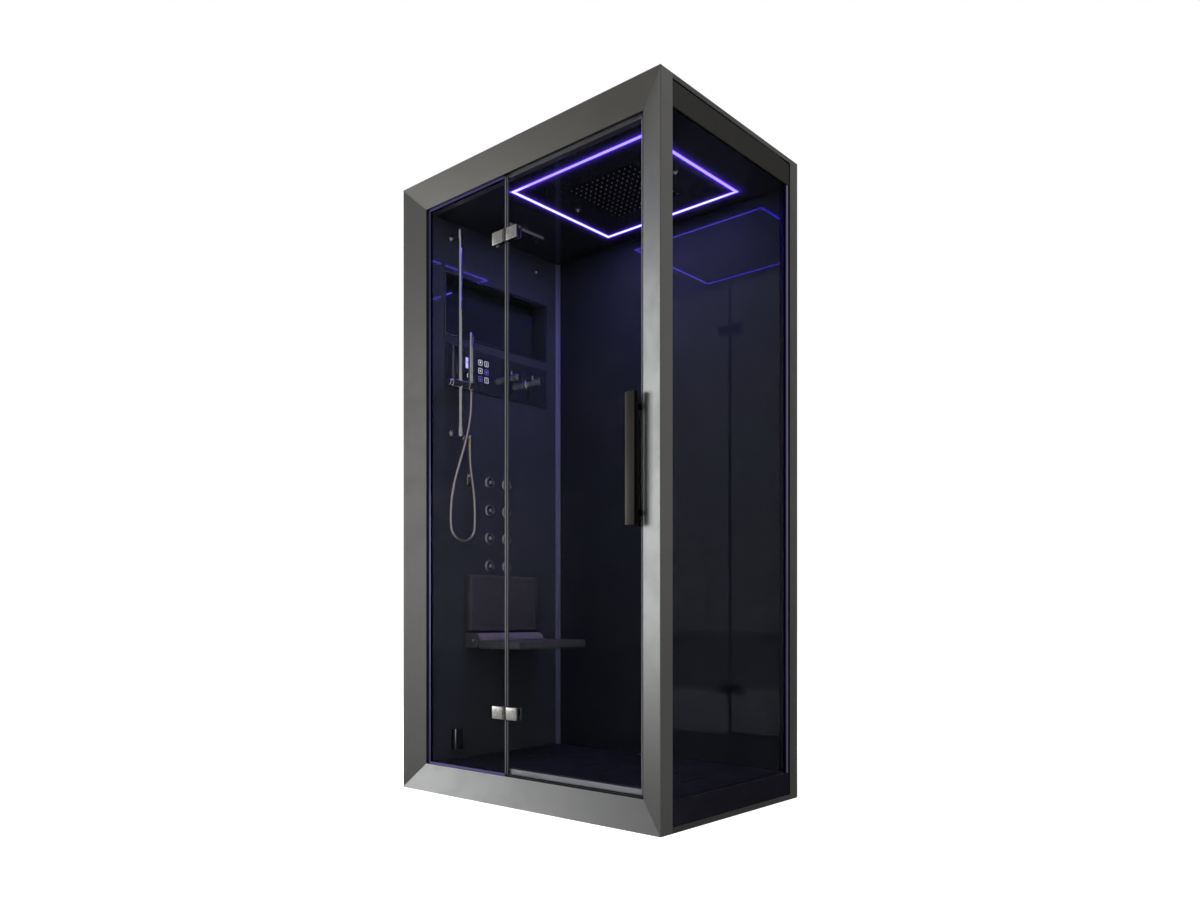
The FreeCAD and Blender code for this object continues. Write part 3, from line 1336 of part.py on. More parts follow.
def seat():
    """A seat that folds up: wall bracket with two ears, slab with its rear roll, and backrest."""
    low, high = "seat_y - seat_half", "seat_y + seat_half"
    axis_x = seat_axis_x()
    tall = ("seat_axis_z - ear_radius", "seat_axis_z + ear_radius")
    plate = block("bracket_wall", (WALL, WALL + " + bracket_plate"), (low, high), tall)
    ears = []
    for name, start in (("left", low), ("right", high + " - ear")):
        disc = rod(f"ear_{name}_disc", "Y", (axis_x, start, "seat_axis_z"), "ear", "ear_radius")
        web = block(f"ear_{name}_web", (WALL, axis_x), (start, f"{start} + ear"), tall)
        ears.extend((disc, web))
    solid = join("bracket_solid", plate, *ears)
    bore = rod("bracket_bore", "Y", (axis_x, low + " - 1", "seat_axis_z"), "2 * seat_half + 2", "seat_pin")
    node("seat_bracket", cut("seat_bracket_bored", solid, bore))

    body = fresh("PartDesign::Body", "slab_body")
    drawing = drawing_on(body, "XZ_Plane", "-seat_y")
    back, front = axis_x + " + slab_gap", WALL + " + slab_front"
    top = "slab_low + slab_thick"
    outline(drawing, [(back, "slab_low"), (front, "slab_low"), (front, top), (back, top)])
    solid = pad(body, drawing, "2 * seat_half", symmetric=True)
    front_x = S.wall_in - S.width / 2 + S.slab_front
    round_edges(body, solid, "slab_round", lambda middle, along: abs(middle.x - front_x) < 0.1)
    inner = ("seat_y - seat_half + ear + fit", "2 * seat_half - 2 * ear - 2 * fit")
    roll = rod("slab_roll", "Y", (axis_x, inner[0], "seat_axis_z"), inner[1], "roll_radius")
    web = block(
        "slab_web", (axis_x, back + " + 4"), (inner[0], f"{inner[0]} + {inner[1]}"),
        ("seat_axis_z - roll_radius", top),
    )
    solid = join("slab_solid", body, roll, web)
    bore = rod("slab_bore", "Y", (axis_x, low, "seat_axis_z"), "2 * seat_half", "seat_pin + running")
    node("seat_slab", cut("slab", solid, bore))

    rest = fresh("PartDesign::Body", "rest_body")
    drawing = drawing_on(rest, "YZ_Plane", WALL)
    high_z = "back_low + back_high"
    outline(drawing, [(low, "back_low"), (high, "back_low"), (high, high_z), (low, high_z)])
    solid = pad(rest, drawing, "back_thick")
    face_x = S.wall_in - S.width / 2 + S.back_thick
    round_edges(rest, solid, "slab_round", lambda middle, along: abs(middle.x - face_x) < 0.1)
    node("seat_backrest", rest)


def steam_fittings():
    """The steam outlet's cover low on the wall and the temperature sensor high on it."""
    y = ("-steam_y - steam_half_wide", "-steam_y + steam_half_wide")
    cover = block(
        "steam_cover", (WALL, WALL + " + steam_out"), y,
        ("steam_z - steam_half_high", "steam_z + steam_half_high"),
    )
    mouth = block(
        "steam_mouth", (WALL + " + 6", WALL + " + steam_out - 5"),
        ("-steam_y - steam_half_wide + 5", "-steam_y + steam_half_wide - 5"),
        ("steam_z - steam_half_high - 1", "steam_z"),
    )
    duct = rod("steam_duct", "X", (WALL + " - 1", "-steam_y", "steam_z - 12"), "12", "steam_pipe - 2")
    node("steam_outlet", cut("steam_outlet_cut", cover, join("steam_inside", mouth, duct)))
    base = rod("sensor_base", "X", (WALL, "sensor_y", "sensor_z"), "3", "sensor_radius + 3")
    dome = ball("sensor_dome", (WALL + " + 3", "sensor_y", "sensor_z"), "sensor_radius")
    half = block(
        "sensor_room", (WALL, WALL + " + 20"), ("sensor_y - 20", "sensor_y + 20"),
        ("sensor_z - 20", "sensor_z + 20")
    )
    tip = fresh("Part::MultiCommon", "sensor_tip")
    tip.Shapes = [dome, half]
    node("temperature_sensor", join("sensor", base, tip))


# ---------------------------------------------------------------- services behind the wall
def tube_run(points, radius):
    """A pipe along straight runs with ball corners."""
    solids = [Part.makeSphere(radius, point) for point in points[1:-1]]
    for start, end in zip(points, points[1:]):
        along = end - start
        solids.append(Part.makeCylinder(radius, along.Length, start, along))
    return solids[0].fuse(solids[1:]) if len(solids) > 1 else solids[0]


def services():
    """Steam generator, power box and pipework in the space behind the wall and above the ceiling."""
    outer = LEFT + " + skin + 2 * cladding"
    tank_y = (REAR + " - tank_in - tank_wide", REAR + " - tank_in")
    tank_top = "floor_z + tank_up + tank_high"
    shell = block(
        "generator_tank", (outer, WALL + " - board - tank_gap"), tank_y, ("floor_z + tank_up", tank_top)
    )
    valve = rod("generator_valve", "Z", (SERVICE, REAR + " - tank_in - tank_up", tank_top), "tank_up", "pipe")
    node("steam_generator", join("generator", shell, valve))
    box_y = (REAR + " - tank_in - box_wide", REAR + " - tank_in")
    box_z = ("box_low", "box_low + box_high")
    node("power_box", block("power_case", (outer, WALL + " - board - 3 * tank_gap"), box_y, box_z))

    wall = S.wall_in - S.width / 2
    back_x = S.service_in - S.width / 2
    inlet_x = S.inlet_in - S.width / 2
    ceiling = S.height - S.ceiling_in
    rear = S.depth / 2 - 2
    rear_wall = S.depth / 2 - S.rear_in
    knob_mid = (S.knob_one_y + S.knob_two_y) / 2
    mixer_end = S.knob_two_y + S.mixer_side
    cold_y = rear_wall - S.pipe_step
    hot_x = inlet_x - S.hot_shift
    hot_z = S.inlet_z - S.inlet_drop
    cold = [
        Vector(inlet_x, rear - S.inlet_long, S.inlet_z),
        Vector(inlet_x, cold_y, S.inlet_z),
        Vector(inlet_x, cold_y, S.knob_z + S.port_up),
        Vector(inlet_x, mixer_end, S.knob_z + S.port_up),
    ]
    hot = [
        Vector(inlet_x, rear - S.inlet_long, hot_z),
        Vector(inlet_x, cold_y, hot_z),
        Vector(hot_x, cold_y, hot_z),
        Vector(hot_x, cold_y, S.knob_z - S.port_down),
        Vector(hot_x, mixer_end, S.knob_z - S.port_down),
    ]
    pipes = []
    for points, z in ((cold, S.inlet_z), (hot, hot_z)):
        start = Vector(inlet_x, rear - S.inlet_long, z)
        nipple = Part.makeCylinder(S.inlet_radius, S.inlet_long, start, Vector(0, 1, 0))
        pipes.append(tube_run(points, S.pipe).fuse(nipple))
    turn_z = S.knob_z + S.mixer_up + S.rain_turn
    roof_z = ceiling + S.roof_run
    rain_y = rear_wall - S.rain_back
    rain = [
        Vector(back_x, knob_mid, S.knob_z + S.mixer_up),
        Vector(back_x, knob_mid, turn_z),
        Vector(back_x, rain_y, turn_z),
        Vector(back_x, rain_y, roof_z),
        Vector(S.rain_x, rain_y, roof_z),
        Vector(S.rain_x, 0, roof_z),
        Vector(S.rain_x, 0, ceiling - S.fit + S.rain_plate + S.rain_body - 4 + S.neck_high),
    ]
    blade = [
        Vector(wall + S.blade_out, rain_y, roof_z),
        Vector(wall + S.blade_out, 0, roof_z),
        Vector(wall + S.blade_out, 0, ceiling),
    ]
    pipes.append(tube_run(rain, S.pipe).fuse(tube_run(blade, S.pipe)))
    hand = [
        Vector(back_x, S.knob_one_y - S.mixer_side, S.knob_z),
        Vector(back_x, -S.elbow_y, S.knob_z),
        Vector(back_x, -S.elbow_y, S.elbow_z),
        Vector(wall - S.board, -S.elbow_y, S.elbow_z),
    ]
    pipes.append(tube_run(hand, S.pipe - 1))
    link_z = S.jet_low + (S.jet_rows - 0.4) * S.jet_pitch
    feed = [
        Vector(back_x, -S.jet_y, S.jet_low), Vector(back_x, -S.jet_y, link_z), Vector(back_x, S.jet_y, link_z)
    ]
    riser = [Vector(back_x, S.jet_y, S.jet_low), Vector(back_x, S.jet_y, S.knob_z - S.mixer_down)]
    tees = []
    for column, row, y, z in jet_places():
        place = Vector(back_x, S.jet_y if column else -S.jet_y, S.jet_low + row * S.jet_pitch)
        long = wall - S.jet_neck_long - back_x
        tees.append(Part.makeCylinder(S.tee, long, place, Vector(1, 0, 0)))
    pipes.append(tube_run(feed, S.pipe).fuse([tube_run(riser, S.pipe), *tees]))
    duct_z = S.floor_z + S.duct_up
    steam = [
        Vector(back_x, S.depth / 2 - S.tank_in - S.tank_wide, duct_z),
        Vector(back_x, -S.steam_y, duct_z),
        Vector(back_x, -S.steam_y, S.steam_z),
        Vector(wall, -S.steam_y, S.steam_z),
    ]
    pipes.append(tube_run(steam, S.steam_pipe))
    runs = []
    for number, shape in enumerate(pipes):
        run = fresh("Part::Feature", f"pipe_{number}")
        run.Shape = shape
        runs.append(run)
    node("pipework", *runs)


front_frame()
structure()
tray()
slotted_cover()
drain()
boards()
corner_trims()
glazing()
hinges()
door()
light_loop()
rain_head()
ceiling_fittings()
niche()
control_panel()
knob("temperature_knob", "knob_one_y", "knob_one_out", "22")
knob("diverter_knob", "knob_two_y", "knob_two_out", "30")
hand_shower()
hose()
jets()
seat()
steam_fittings()
services()
doc.recompute()

faults = [item.Name for item in doc.Objects if {"Invalid", "Error"} & set(item.State)]
if faults:
    raise RuntimeError("failed objects: " + ", ".join(faults))
os.makedirs("parts", exist_ok=True)
for name, item in nodes.items():
    shape = item.Shape
    if shape.isNull() or not shape.isValid() or not shape.Solids:
        raise RuntimeError("bad shape: " + name)
for name, item in nodes.items():
    item.Shape.exportStep(f"parts/{name}.step")
print(len(nodes), "nodes")
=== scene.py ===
"""Looks of the steam shower cabin, 1.2 x 0.8 x 2.23 m. X runs along the glazed front, the front is at -Y."""

import bmesh
import bpy
from math import cos, pi, radians, sin
from mathutils import Matrix, Vector


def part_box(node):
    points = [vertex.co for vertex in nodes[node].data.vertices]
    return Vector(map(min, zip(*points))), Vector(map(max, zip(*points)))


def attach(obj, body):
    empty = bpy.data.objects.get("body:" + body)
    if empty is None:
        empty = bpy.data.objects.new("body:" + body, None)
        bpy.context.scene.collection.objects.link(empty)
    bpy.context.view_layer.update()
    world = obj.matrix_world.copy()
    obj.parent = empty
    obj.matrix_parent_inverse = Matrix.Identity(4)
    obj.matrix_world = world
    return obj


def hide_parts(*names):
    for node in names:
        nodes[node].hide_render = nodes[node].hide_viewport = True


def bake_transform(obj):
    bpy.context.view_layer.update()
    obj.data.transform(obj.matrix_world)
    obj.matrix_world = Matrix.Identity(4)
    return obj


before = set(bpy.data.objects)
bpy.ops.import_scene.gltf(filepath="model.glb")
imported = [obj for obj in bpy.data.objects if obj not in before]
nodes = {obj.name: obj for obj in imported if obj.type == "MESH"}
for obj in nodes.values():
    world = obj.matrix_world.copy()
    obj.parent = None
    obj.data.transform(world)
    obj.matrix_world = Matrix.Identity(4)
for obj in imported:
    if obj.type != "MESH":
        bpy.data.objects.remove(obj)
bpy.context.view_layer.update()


# ------------------------------------------------ camera
# The photograph was taken from the cabin's near front corner, low down and level,
# with the lens shifted up so that the uprights stay upright.
scene = bpy.context.scene
lens = bpy.data.cameras.new("camera")
lens.sensor_width = 36
lens.lens = 27.92
lens.shift_x = 0.0175
lens.shift_y = 0.1389
camera = bpy.data.objects.new("camera", lens)
camera.location = (2.2146, -2.5547, 0.6365)
camera.rotation_euler = (radians(90), 0, radians(41.85))
scene.collection.objects.link(camera)
scene.camera = camera


# ------------------------------------------------ hose
# A metal hose with a double-lock winding, 11 mm across. It hangs in one loop from the wall elbow
# to the hand shower's lower end, and is wound from one strip, so it shows fine rings all along.
# Its neck is slimmer where it enters the hand shower.
HOSE_ROUTE = [
    (-0.478, -0.176, 1.287),
    (-0.478, -0.176, 1.230),
    (-0.476, -0.1665, 1.165),
    (-0.474, -0.1565, 1.100),
    (-0.4725, -0.1545, 1.035),
    (-0.471, -0.156, 0.9694),
    (-0.470, -0.1726, 0.9406),
    (-0.469, -0.2014, 0.924),
    (-0.468, -0.2346, 0.924),
    (-0.467, -0.2634, 0.9406),
    (-0.466, -0.280, 0.9694),
    (-0.4645, -0.2815, 1.035),
    (-0.463, -0.277, 1.090),
    (-0.4615, -0.263, 1.155),
    (-0.460, -0.240, 1.222),
    (-0.4585, -0.217, 1.290),
    (-0.4572, -0.200, 1.354),
    (-0.4563, -0.1905, 1.410),
    (-0.456, -0.188, 1.462),
    (-0.456, -0.188, 1.508),
]
HOSE_RADIUS, HOSE_SIDES = 0.0057, 16
RING_DEPTH, RINGS_PER_POINT = 0.0004, 24
NECK_RADIUS, NECK_FROM = 0.0042, 1.4915


def link(name, data):
    """Adds an object to the scene."""
    obj = bpy.data.objects.new(name, data)
    scene.collection.objects.link(obj)
    return obj


def route_mesh(name, points, radius):
    """The mesh of a smooth curve whose control points are the route. Radius 0 leaves a bare line."""
    curve = bpy.data.curves.new(name, "CURVE")
    curve.dimensions = "3D"
    curve.resolution_u = RINGS_PER_POINT
    curve.bevel_depth = radius
    curve.bevel_resolution = HOSE_SIDES // 2 - 2
    spline = curve.splines.new("NURBS")
    spline.points.add(len(points) - 1)
    for point, place in zip(spline.points, points):
        point.co = (*place, 1)
    spline.order_u = 3
    spline.use_endpoint_u = True
    line = link(name, curve)
    graph = bpy.context.evaluated_depsgraph_get()
    mesh = bpy.data.meshes.new_from_object(line.evaluated_get(graph))
    bpy.data.objects.remove(line)
    return mesh


def new_group(name, inputs, outputs):
    """A shader node group, its inputs and its outputs. An input is name: (type, default)."""
    tree = bpy.data.node_groups.new(name, "ShaderNodeTree")
    for label, (kind, value) in inputs.items():
        tree.interface.new_socket(label, in_out="INPUT", socket_type=kind).default_value = value
    for label, kind in outputs.items():
        tree.interface.new_socket(label, in_out="OUTPUT", socket_type=kind)
    return tree, tree.nodes.new("NodeGroupInput").outputs, tree.nodes.new("NodeGroupOutput").inputs


def add(tree, kind, **settings):
    """A node with its settings. Names that match an input set that input's value."""
    node = tree.nodes.new(kind)
    for label, value in settings.items():
        spaced = label.replace("_", " ")
        if hasattr(node, label) and spaced not in node.inputs:
            setattr(node, label, value)
        else:
            node.inputs[spaced].default_value = value
    return node


def wire(tree, *pairs):
    """Joins output sockets to input sockets."""
    for source, target in pairs:
        tree.links.new(source, target)


def maths(tree, operation, *values):
    """The result of a Math node. A value is a socket or a plain number."""
    node = add(tree, "ShaderNodeMath", operation=operation)
    for socket, value in zip(node.inputs, values):
        if isinstance(value, (int, float)):
            socket.default_value = value
        else:
            wire(tree, (value, socket))
    return node.outputs["Value"]


def ramp(tree, value, **ends):
    """A value mapped from one span to another and held at its ends."""
    node = add(tree, "ShaderNodeMapRange", **ends)
    wire(tree, (value, node.inputs["Value"]))
    return node.outputs["Result"]


def object_place(tree):
    """The point's place in the object's own frame."""
    return add(tree, "ShaderNodeTexCoord").outputs["Object"]


def streaks_group():
    """Fine grain drawn out along one direction, as brushing, drawing and anodising leave it."""
    inputs = {"Stretch": ("NodeSocketVector", (600, 600, 12)), "Depth": ("NodeSocketFloat", 0.2)}
    outputs = {"Grain": "NodeSocketFloat", "Normal": "NodeSocketVector"}
    tree, given, out = new_group("drawn grain", inputs, outputs)
    drawn = add(tree, "ShaderNodeMapping")
    grain = add(tree, "ShaderNodeTexNoise", Scale=1.0, Detail=4.0, Roughness=0.6)
    bump = add(tree, "ShaderNodeBump", Distance=0.0002)
    wire(
        tree,
        (object_place(tree), drawn.inputs["Vector"]),
        (given["Stretch"], drawn.inputs["Scale"]),
        (drawn.outputs["Vector"], grain.inputs["Vector"]),
        (grain.outputs["Fac"], bump.inputs["Height"]),
        (given["Depth"], bump.inputs["Strength"]),
        (grain.outputs["Fac"], out["Grain"]),
        (bump.outputs["Normal"], out["Normal"]),
    )
    return tree


def marks_group():
    """Faint handling marks and dried water: soft clouds with a few rounder spots in them."""
    inputs = {"Size": ("NodeSocketFloat", 9.0)}
    tree, given, out = new_group("handling marks", inputs, {"Marks": "NodeSocketFloat"})
    clouds = add(tree, "ShaderNodeTexNoise", Detail=5.0, Roughness=0.65, Distortion=0.6)
    spots = add(tree, "ShaderNodeTexVoronoi", feature="SMOOTH_F1", Scale=38.0, Smoothness=0.6)
    place = object_place(tree)
    wire(
        tree,
        (place, clouds.inputs["Vector"]),
        (place, spots.inputs["Vector"]),
        (given["Size"], clouds.inputs["Scale"]),
    )
    soft = ramp(tree, clouds.outputs["Fac"], From_Min=0.42, From_Max=0.75)
    dots = ramp(tree, spots.outputs["Distance"], From_Min=0.32, From_Max=0.12)
    wire(tree, (maths(tree, "MULTIPLY_ADD", dots, 0.35, soft), out["Marks"]))
    return tree


drawn_grain, handling_marks = streaks_group(), marks_group()


def place_group(tree, group, **values):
    """The outputs of a node group inside a material, with its values."""
    node = tree.nodes.new("ShaderNodeGroup")
    node.node_tree = group
    for label, value in values.items():
        node.inputs[label].default_value = value
    return node.outputs


def new_material(name, color, metallic=0.0, roughness=0.4, **settings):
    """A material with a Principled shader. Further settings go on the shader's own sockets."""
    material = bpy.data.materials.new(name)
    material.use_nodes = True
    shader = material.node_tree.nodes["Principled BSDF"]
    shader.inputs["Base Color"].default_value = (*color, 1)
    shader.inputs["Metallic"].default_value = metallic
    shader.inputs["Roughness"].default_value = roughness
    for label, value in settings.items():
        shader.inputs[label.replace("_", " ")].default_value = value
    return material, material.node_tree, shader


MIX_LOW, MIX_HIGH, MIX_RESULT = 6, 7, 2  # colour sockets of a Mix node


def between(tree, mask, low, high):
    """A colour between two others, picked by a mask. Each is a colour or a colour socket."""
    mix = add(tree, "ShaderNodeMix", data_type="RGBA")
    wire(tree, (mask, mix.inputs["Factor"]))
    for socket, value in ((mix.inputs[MIX_LOW], low), (mix.inputs[MIX_HIGH], high)):
        if isinstance(value, tuple):
            socket.default_value = (*value, 1)
        else:
            wire(tree, (value, socket))
    return mix.outputs[MIX_RESULT]


def tint(tree, shader, mask, dark, light):
    """Runs the base colour between two colours with a mask."""
    wire(tree, (between(tree, mask, dark, light), shader.inputs["Base Color"]))


def dull(tree, shader, mask, roughness, dulled):
    """Makes the surface rougher by up to a small step where the mask is high."""
    spread = ramp(tree, mask, To_Min=roughness, To_Max=roughness + dulled)
    wire(tree, (spread, shader.inputs["Roughness"]))


def drawn_metal(name, dark, light, roughness, stretch, depth=0.2, metallic=1.0, dulled=0.09):
    """Metal with drawn or even grain: colour and roughness follow the grain and the marks."""
    stretch = stretch if isinstance(stretch, tuple) else (stretch,) * 3
    material, tree, shader = new_material(name, light, metallic=metallic, roughness=roughness)
    grain = place_group(tree, drawn_grain, Stretch=stretch, Depth=depth)
    tint(tree, shader, grain["Grain"], dark, light)
    dull(tree, shader, place_group(tree, handling_marks)["Marks"], roughness, dulled)
    wire(tree, (grain["Normal"], shader.inputs["Normal"]))
    return material


chrome = drawn_metal("chrome", (0.66, 0.64, 0.62), (0.78, 0.76, 0.74), 0.055, 90, 0.01, dulled=0.03)
hose_steel = drawn_metal("hose steel", (0.70, 0.60, 0.53), (0.80, 0.69, 0.61), 0.24, 300, 0.03, 0.8, 0.02)
hose_path = [tuple(vertex.co) for vertex in route_mesh("hose_line", HOSE_ROUTE, 0).vertices]
hose_mesh = route_mesh("hose_tube", HOSE_ROUTE, HOSE_RADIUS)
for number, vertex in enumerate(hose_mesh.vertices):
    ring = number // HOSE_SIDES
    centre = Vector(hose_path[min(ring, len(hose_path) - 1)])
    outward = (vertex.co - centre).normalized()
    if centre.z > NECK_FROM:
        vertex.co = centre + outward * NECK_RADIUS
    elif ring % 2:
        vertex.co -= outward * RING_DEPTH
hose_mesh.materials.clear()
hose_mesh.materials.append(hose_steel)
hose_mesh.shade_smooth()
hose_piece = link("hand_shower_hose", hose_mesh)
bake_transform(hose_piece)
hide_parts("hose")


# ------------------------------------------------ front frame
# Four wide bevelled aluminium extrusions, anodised a satin titanium grey and mitred at the corners.
# Their grain runs along each bar, so it turns at the mitres. The bottom bar and the header are darker
# copies of the uprights' grey, the header the darkest: painted shade.
ALONG_X, ALONG_Y, ALONG_Z = (9, 900, 900), (900, 9, 900), (900, 900, 9)
upright_grey = drawn_metal(
    "titanium upright", (0.066, 0.065, 0.0625), (0.086, 0.0845, 0.081), 0.34, ALONG_Z, 0.12
)
# painted shade: the bottom bar and the header are darker copies of the uprights' titanium grey
crossbar_grey_painted_shade = drawn_metal(
    "titanium crossbar painted shade", (0.057, 0.0575, 0.0565), (0.075, 0.0755, 0.0745), 0.34, ALONG_X, 0.12
)
header_grey_painted_shade = drawn_metal(
    "titanium header painted shade", (0.044, 0.042, 0.039), (0.058, 0.056, 0.052), 0.34, ALONG_X, 0.12
)


def dress(material, *names):
    """Gives CAD nodes a material."""
    for name in names:
        for place in nodes[name].material_slots:
            place.material = material


dress(upright_grey, "front_frame_left", "front_frame_right")
dress(crossbar_grey_painted_shade, "front_frame_bottom")
dress(header_grey_painted_shade, "front_frame_top")


# ------------------------------------------------ structure behind the frame
# Square steel posts with braces between them, rails round the foot and the top, the end sheet
# and the roof sheet, all powder-coated graphite. Dark infills close the end above and below its glass.
def moulded_group():
    """The fine leathery grain of moulded and powder-coated surfaces, with its normal."""
    inputs = {"Size": ("NodeSocketFloat", 900.0), "Depth": ("NodeSocketFloat", 0.25)}
    outputs = {"Grain": "NodeSocketFloat", "Normal": "NodeSocketVector"}
    tree, given, out = new_group("moulded grain", inputs, outputs)
    place = object_place(tree)
    cells = add(tree, "ShaderNodeTexVoronoi", feature="F1")
    fine = add(tree, "ShaderNodeTexNoise", Detail=3.0, Roughness=0.5)
    for texture in (cells, fine):
        wire(tree, (place, texture.inputs["Vector"]), (given["Size"], texture.inputs["Scale"]))
    grain = maths(tree, "MULTIPLY", cells.outputs["Distance"], fine.outputs["Fac"])
    bump = add(tree, "ShaderNodeBump", Distance=0.0003)
    wire(
        tree,
        (grain, bump.inputs["Height"]),
        (given["Depth"], bump.inputs["Strength"]),
        (grain, out["Grain"]),
        (bump.outputs["Normal"], out["Normal"]),
    )
    return tree


moulded_grain = moulded_group()
MOULDED_DULLED = 0.12


def moulded(name, dark, light, roughness, size=900.0, depth=0.25, **settings):
    """Plastic or paint with a fine moulded grain and faint marks."""
    material, tree, shader = new_material(name, light, roughness=roughness, **settings)
    grain = place_group(tree, moulded_grain, Size=size, Depth=depth)
    marks = place_group(tree, handling_marks)["Marks"]
    tint(tree, shader, marks, dark, light)
    dull(tree, shader, marks, roughness, MOULDED_DULLED)
    wire(tree, (grain["Normal"], shader.inputs["Normal"]))
    return material


def object_axes(tree):
    """The point's X, Y and Z in the object's own frame."""
    split = add(tree, "ShaderNodeSeparateXYZ")
    wire(tree, (object_place(tree), split.inputs["Vector"]))
    return split.outputs


powder = moulded("graphite powder coat", (0.030, 0.029, 0.029), (0.042, 0.041, 0.040), 0.42, 1400, 0.3)
sheet_coat = moulded("graphite sheet", (0.055, 0.054, 0.054), (0.075, 0.074, 0.073), 0.46, 1200, 0.3)
# painted shade: the rails and the posts are darker copies of the front frame's titanium, the posts the
# darkest
rail_grey_painted_shade = drawn_metal("titanium rail painted shade", (0.034, 0.033, 0.031), (0.045, 0.043, 0.040), 0.40, ALONG_Y, 0.12)
post_grey_painted_shade = drawn_metal("titanium post painted shade", (0.028, 0.026, 0.024), (0.040, 0.037, 0.034), 0.40, ALONG_Z, 0.12)
infill = moulded(
    "dark infill", (0.010, 0.0095, 0.0145), (0.0145, 0.0138, 0.021), 0.42, 1500, 0.15,
    Specular_IOR_Level=0.0,
)
# the fascia above the side glass is a paler satin sheet than the apron below it
FASCIA_GREY = (0.032, 0.031, 0.030)
tree = infill.node_tree
base = tree.nodes["Principled BSDF"].inputs["Base Color"]
above_glass = ramp(tree, object_axes(tree)["Z"], From_Min=1.0, From_Max=1.1)
wire(tree, (between(tree, above_glass, base.links[0].from_socket, FASCIA_GREY), base))
dress(powder, "frame_back_plates")
dress(rail_grey_painted_shade, "side_rails")
dress(post_grey_painted_shade, "rear_frame")
dress(sheet_coat, "left_cladding", "roof_cover")
dress(infill, "side_infills")
dress(moulded("foot nylon", (0.02, 0.02, 0.02), (0.03, 0.03, 0.03), 0.55, 1100, 0.4), "levelling_feet")


# ------------------------------------------------ back of the cabin
# Pan-head screws hold the braces to the posts and the wall boards to the braces. Each is a low
# dome with a hexagon socket.
MERGE_DISTANCE, SHARP_FROM = 2e-6, 32
X, Y, Z = Vector((1, 0, 0)), Vector((0, 1, 0)), Vector((0, 0, 1))


def lathe(bm, profile, start, axis, steps=40, finish=0):
    """A turned shape. The profile's points are (distance along the axis, radius)."""
    start, before = Vector(start), set(bm.faces)
    side = axis.orthogonal().normalized()
    verts = [bm.verts.new(start + axis * along + side * radius) for along, radius in profile]
    edges = [bm.edges.new(pair) for pair in zip(verts, verts[1:])]
    bmesh.ops.spin(
        bm, geom=verts + edges, cent=start, axis=axis, dvec=(0, 0, 0), angle=2 * pi, steps=steps,
        use_merge=True, use_duplicate=False,
    )
    for made in set(bm.faces) - before:
        made.material_index = finish


def from_bmesh(name, bm, materials, body="cabin", replaces=None):
    """Closes a bmesh and makes it a piece: doubles merged, faces turned outwards, body and slot."""
    bmesh.ops.remove_doubles(bm, verts=bm.verts, dist=MERGE_DISTANCE)
    bmesh.ops.recalc_face_normals(bm, faces=bm.faces)
    mesh = bpy.data.meshes.new(name)
    bm.to_mesh(mesh)
    bm.free()
    for material in materials:
        mesh.materials.append(material)
    mesh.shade_smooth()
    mesh.set_sharp_from_angle(angle=radians(SHARP_FROM))
    piece = link(name, mesh)
    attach(piece, body)
    if replaces:
        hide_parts(replaces)


def screw(bm, place, axis, radius=0.005, rise=0.0025):
    """A low domed screw head with a hexagon socket."""
    head = [(0, radius), (rise * 0.5, radius * 0.95), (rise, radius * 0.6), (rise, radius * 0.42)]
    head += [(rise * 0.3, radius * 0.4), (rise * 0.3, 0)]
    lathe(bm, head, place, axis, 12)


BRACE_HEIGHTS, BRACE_FACE = (0.3, 0.9, 1.5, 2.1), 0.379
POST_SIDE, POST_LIFT = 0.545, 0.012
BOARD_SCREWS, BOARD_FIRST, BOARD_PITCH = 5, -0.44, 0.22
screws = bmesh.new()
for height in BRACE_HEIGHTS:
    for side in (-POST_SIDE, POST_SIDE):
        for lift in (-POST_LIFT, POST_LIFT):
            screw(screws, (side, BRACE_FACE, height + lift), Y)
    for k in range(BOARD_SCREWS):
        screw(screws, (BOARD_FIRST + BOARD_PITCH * k, BRACE_FACE, height), Y, 0.004)
screw_steel = drawn_metal("screw steel", (0.40, 0.40, 0.40), (0.55, 0.55, 0.55), 0.28, 400, 0.1)
from_bmesh("rear_screws", screws, [screw_steel])


# ------------------------------------------------ tray, cover and drain
# A shallow black tray with a satin top. The loose slotted cover lies flush in its recess and has a
# fine slip-resistant grain. The trap below it is dark plastic.
dress(moulded("tray black", (0.020, 0.020, 0.026), (0.030, 0.030, 0.038), 0.30, 700, 0.15), "shower_tray")
dress(moulded("cover black", (0.022, 0.022, 0.030), (0.034, 0.034, 0.044), 0.34, 420, 0.5), "floor_cover")
dress(moulded("trap plastic", (0.10, 0.10, 0.105), (0.15, 0.15, 0.155), 0.45), "drain_trap")


# ------------------------------------------------ boards
# High-gloss black boards line the equipped wall, the rear wall and the ceiling, in three shades of one
# black: the equipped wall paler and bluer, painted light, the rear wall and the ceiling darker, painted
# shade. The ceiling's own emission paints a soft violet glow close to the light loop.
LOOP_CENTRE, LOOP_HALF = (0.143, 0.0), (0.294, 0.261)
PAINTED_GLOW_VIOLET, GLOW_REACH = (0.16, 0.07, 1.0), 0.009
WALL_FACE, REAR_FACE = -0.506, 0.348


def gloss(name, dark, light, roughness, dulled=0.012, size=5.0, **settings):
    """A smooth surface whose colour and shine change a little where it was touched."""
    material, tree, shader = new_material(name, light, roughness=roughness, **settings)
    marks = place_group(tree, handling_marks, Size=size)["Marks"]
    tint(tree, shader, marks, dark, light)
    if dulled:
        dull(tree, shader, marks, roughness, dulled)
    return material


